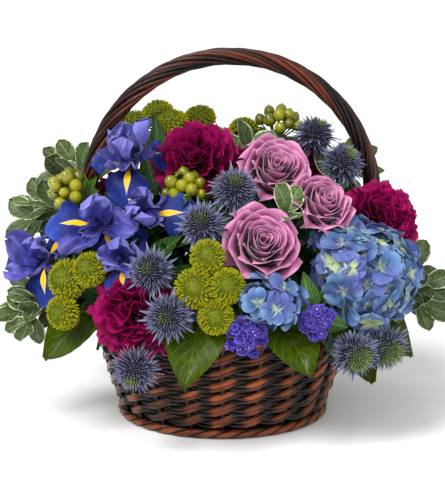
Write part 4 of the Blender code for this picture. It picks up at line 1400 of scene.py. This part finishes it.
def hydrangea_skin():
    """Hydrangea sepal, living petal: blue, violet in places, with a cream-green heart on some florets."""
    material = petal_skin("hydrangea_sepal", "#365078", "#486a98", "#7c9abe", 0.5, 0.15, 0.9, 0.12, 0.08,
                          0.5)
    tree = material.node_tree
    shader = tree.nodes["Principled BSDF"]
    blue = shader.inputs["Base Color"].links[0].from_socket
    where = add_node(tree, "TexCoord")
    place = add_node(tree, "Attribute", attribute_name="place")
    parts = add_node(tree, "SeparateXYZ", {"Vector": place.outputs["Vector"]})
    cloud = add_node(tree, "TexNoise", {"Vector": where.outputs["Object"], "Scale": 26.0, "Detail": 1.0})
    drift = add_node(tree, "MapRange", {"Value": cloud.outputs["Fac"], "From Min": 0.48, "From Max": 0.66,
                     "To Max": 0.75})
    violet = add_node(tree, "Mix", {"Factor": drift.outputs[0], 6: blue, 7: linear("#54589c")},
                      data_type="RGBA")
    pale = add_node(tree, "MapRange", {"Value": parts.outputs["Z"], "From Min": 0.5, "From Max": 1.0,
                    "To Min": 0.06, "To Max": 0.52})
    depth = add_node(tree, "Math", {0: pale.outputs[0], 1: parts.outputs["Y"]}, operation="SUBTRACT")
    heart = add_node(tree, "MapRange", {"Value": depth.outputs[0], "From Min": -0.12, "From Max": 0.18,
                     "To Max": 0.85})
    skin = add_node(tree, "Mix", {"Factor": heart.outputs[0], 6: violet.outputs[2], 7: linear("#b8c88e")},
                    data_type="RGBA")
    tree.links.new(skin.outputs[2], shader.inputs["Base Color"])
    return material


# ---------------------------------------------------------------- studio

def build_stage(settings):
    """Pale paper floor, soft lamps and the camera."""
    # Matt background paper, uncoated: soft even white with no shine, so only the shadow shows on it
    material, tree, shader = new_material("matt_studio_paper")
    where = add_node(tree, "TexCoord")
    fibre = add_node(tree, "TexNoise", {"Vector": where.outputs["Object"], "Scale": 400.0, "Detail": 2.0})
    bump = add_node(tree, "Bump", {"Height": fibre.outputs["Fac"], "Distance": 0.05 * MM,
                                   "Strength": 0.2})
    feed(tree, shader, {"Normal": bump.outputs["Normal"], "Base Color": settings.floor_colour,
                        "Roughness": 0.9})
    mesh = bpy.data.meshes.new("studio_floor")
    steps = np.linspace(-60, 60, 7)
    points = [(x, y, 0.0) for y in steps for x in steps]
    faces = [(7 * j + i, 7 * j + i + 1, 7 * j + i + 8, 7 * j + i + 7) for j in range(6) for i in range(6)]
    mesh.from_pydata(points, [], faces)
    mesh.materials.append(material)
    floor = bpy.data.objects.new("studio_floor", mesh)
    bpy.context.scene.collection.objects.link(floor)

    target = Vector((0, 0, 158 * MM))
    elevation = math.radians(11.5)
    data = bpy.data.cameras.new("camera")
    data.lens = 120
    data.clip_start = 0.05
    camera = bpy.data.objects.new("camera", data)
    camera.location = target + Vector((0, -math.cos(elevation), math.sin(elevation))) * 1.6
    camera.rotation_euler = (math.pi / 2 - elevation, 0, 0)
    bpy.context.scene.collection.objects.link(camera)
    bpy.context.scene.camera = camera

    lamps = (
        ("key_light", "SUN", (-0.62, -0.72, 1.15), 3.0, math.radians(26)),
        ("fill_softbox", "AREA", (1.2, -1.0, 0.7), 6.0, 1.2),
        ("front_softbox", "AREA", (-0.2, -1.7, 0.9), 9.0, 0.9),
    )
    for name, kind, place, power, size in lamps:
        light = bpy.data.lights.new(name, kind)
        light.energy = power
        if kind == "SUN":
            light.angle = size
        else:
            light.shape = "DISK"
            light.size = size
        lamp = bpy.data.objects.new(name, light)
        lamp.location = place
        lamp.rotation_euler = (Vector((0, 0, 0.15)) - Vector(place)).to_track_quat("-Z", "Y").to_euler()
        bpy.context.scene.collection.objects.link(lamp)
    world = bpy.data.worlds.new("studio_air")
    world.use_nodes = True
    air = world.node_tree
    way = add_node(air, "TexCoord")
    parts = add_node(air, "SeparateXYZ", {"Vector": way.outputs["Generated"]})
    glow = add_node(air, "ValToRGB", {"Fac": parts.outputs["Z"]},
                    stops=((0.05, linear("#ffffff")), (0.11, linear("#8c8c8c")),
                           (1.0, linear("#ececec"))))
    air.links.new(glow.outputs["Color"], air.nodes["Background"].inputs["Color"])
    air.nodes["Background"].inputs["Strength"].default_value = 1.0
    bpy.context.scene.world = world
    bpy.context.scene.view_settings.view_transform = "Standard"


# ---------------------------------------------------------------- operators and panel

class FLOWERBASKET_OT_stage(bpy.types.Operator):
    """Build the floor, the lamps and the camera"""
    bl_idname = "flowerbasket.stage"
    bl_label = "Studio stage"

    def execute(self, context):
        build_stage(context.scene.basket_flowers)
        return {"FINISHED"}


class FLOWERBASKET_OT_basket(bpy.types.Operator):
    """Build the woven wall, foot, rim and base"""
    bl_idname = "flowerbasket.basket"
    bl_label = "Woven basket"

    def execute(self, context):
        build_basket(context.scene.basket_settings)
        return {"FINISHED"}


class FLOWERBASKET_OT_handle(bpy.types.Operator):
    """Build the hoop of bound willow rods"""
    bl_idname = "flowerbasket.handle"
    bl_label = "Hoop handle"

    def execute(self, context):
        build_handle(context.scene.basket_settings)
        return {"FINISHED"}


class FLOWERBASKET_OT_foam(bpy.types.Operator):
    """Build the liner and the soaked foam in it"""
    bl_idname = "flowerbasket.foam"
    bl_label = "Liner and foam"

    def execute(self, context):
        build_liner_and_foam()
        return {"FINISHED"}


class FLOWERBASKET_OT_roses(bpy.types.Operator):
    """Build the lavender roses"""
    bl_idname = "flowerbasket.roses"
    bl_label = "Roses"

    def execute(self, context):
        build_roses(context.scene.basket_flowers)
        return {"FINISHED"}


class FLOWERBASKET_OT_carnations(bpy.types.Operator):
    """Build the ruffled carnations"""
    bl_idname = "flowerbasket.carnations"
    bl_label = "Carnations"

    def execute(self, context):
        build_carnations(context.scene.basket_flowers)
        return {"FINISHED"}


class FLOWERBASKET_OT_irises(bpy.types.Operator):
    """Build the blue irises"""
    bl_idname = "flowerbasket.irises"
    bl_label = "Irises"

    def execute(self, context):
        build_irises()
        return {"FINISHED"}


class FLOWERBASKET_OT_mums(bpy.types.Operator):
    """Build the sprays of green button mums"""
    bl_idname = "flowerbasket.mums"
    bl_label = "Button mums"

    def execute(self, context):
        build_mums()
        return {"FINISHED"}


class FLOWERBASKET_OT_thistles(bpy.types.Operator):
    """Build the steel blue thistles"""
    bl_idname = "flowerbasket.thistles"
    bl_label = "Thistles"

    def execute(self, context):
        build_thistles()
        return {"FINISHED"}


class FLOWERBASKET_OT_berries(bpy.types.Operator):
    """Build the sprigs of hypericum berries"""
    bl_idname = "flowerbasket.berries"
    bl_label = "Berries"

    def execute(self, context):
        build_berries(context.scene.basket_flowers)
        return {"FINISHED"}


class FLOWERBASKET_OT_hydrangeas(bpy.types.Operator):
    """Build the blue hydrangeas"""
    bl_idname = "flowerbasket.hydrangeas"
    bl_label = "Hydrangeas"

    def execute(self, context):
        build_hydrangeas(context.scene.basket_flowers)
        return {"FINISHED"}


class FLOWERBASKET_OT_statice(bpy.types.Operator):
    """Build the violet statice"""
    bl_idname = "flowerbasket.statice"
    bl_label = "Statice"

    def execute(self, context):
        build_statice()
        return {"FINISHED"}


class FLOWERBASKET_OT_pittosporum(bpy.types.Operator):
    """Build the variegated pittosporum sprigs"""
    bl_idname = "flowerbasket.pittosporum"
    bl_label = "Variegated sprigs"

    def execute(self, context):
        build_pittosporum()
        return {"FINISHED"}


class FLOWERBASKET_OT_leaves(bpy.types.Operator):
    """Build the broad leaves that hang over the rim"""
    bl_idname = "flowerbasket.leaves"
    bl_label = "Broad leaves"

    def execute(self, context):
        build_leaves()
        return {"FINISHED"}


OPERATORS = [
    FLOWERBASKET_OT_stage,
    FLOWERBASKET_OT_basket,
    FLOWERBASKET_OT_handle,
    FLOWERBASKET_OT_foam,
    FLOWERBASKET_OT_roses,
    FLOWERBASKET_OT_carnations,
    FLOWERBASKET_OT_irises,
    FLOWERBASKET_OT_mums,
    FLOWERBASKET_OT_thistles,
    FLOWERBASKET_OT_berries,
    FLOWERBASKET_OT_hydrangeas,
    FLOWERBASKET_OT_statice,
    FLOWERBASKET_OT_pittosporum,
    FLOWERBASKET_OT_leaves,
]


class FLOWERBASKET_PT_panel(bpy.types.Panel):
    """Lists the settings and every build step."""
    bl_idname = "FLOWERBASKET_PT_panel"
    bl_label = "Flower Basket"
    bl_space_type = "VIEW_3D"
    bl_region_type = "UI"
    bl_category = "Flower Basket"

    def draw(self, context):
        for group in (context.scene.basket_settings, context.scene.basket_flowers):
            for name in group.__annotations__:
                self.layout.prop(group, name)
        for operator in OPERATORS:
            self.layout.operator(operator.bl_idname)


CLASSES = [BasketSettings, FlowerSettings, *OPERATORS, FLOWERBASKET_PT_panel]


def register():
    for cls in CLASSES:
        bpy.utils.register_class(cls)
    bpy.types.Scene.basket_settings = PointerProperty(type=BasketSettings)
    bpy.types.Scene.basket_flowers = PointerProperty(type=FlowerSettings)


def unregister():
    del bpy.types.Scene.basket_flowers
    del bpy.types.Scene.basket_settings
    for cls in reversed(CLASSES):
        bpy.utils.unregister_class(cls)


def main():
    register()
    for operator in OPERATORS:
        getattr(bpy.ops.flowerbasket, operator.bl_idname.split(".")[1])()
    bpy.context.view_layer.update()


if __name__ == "__main__":
    main()
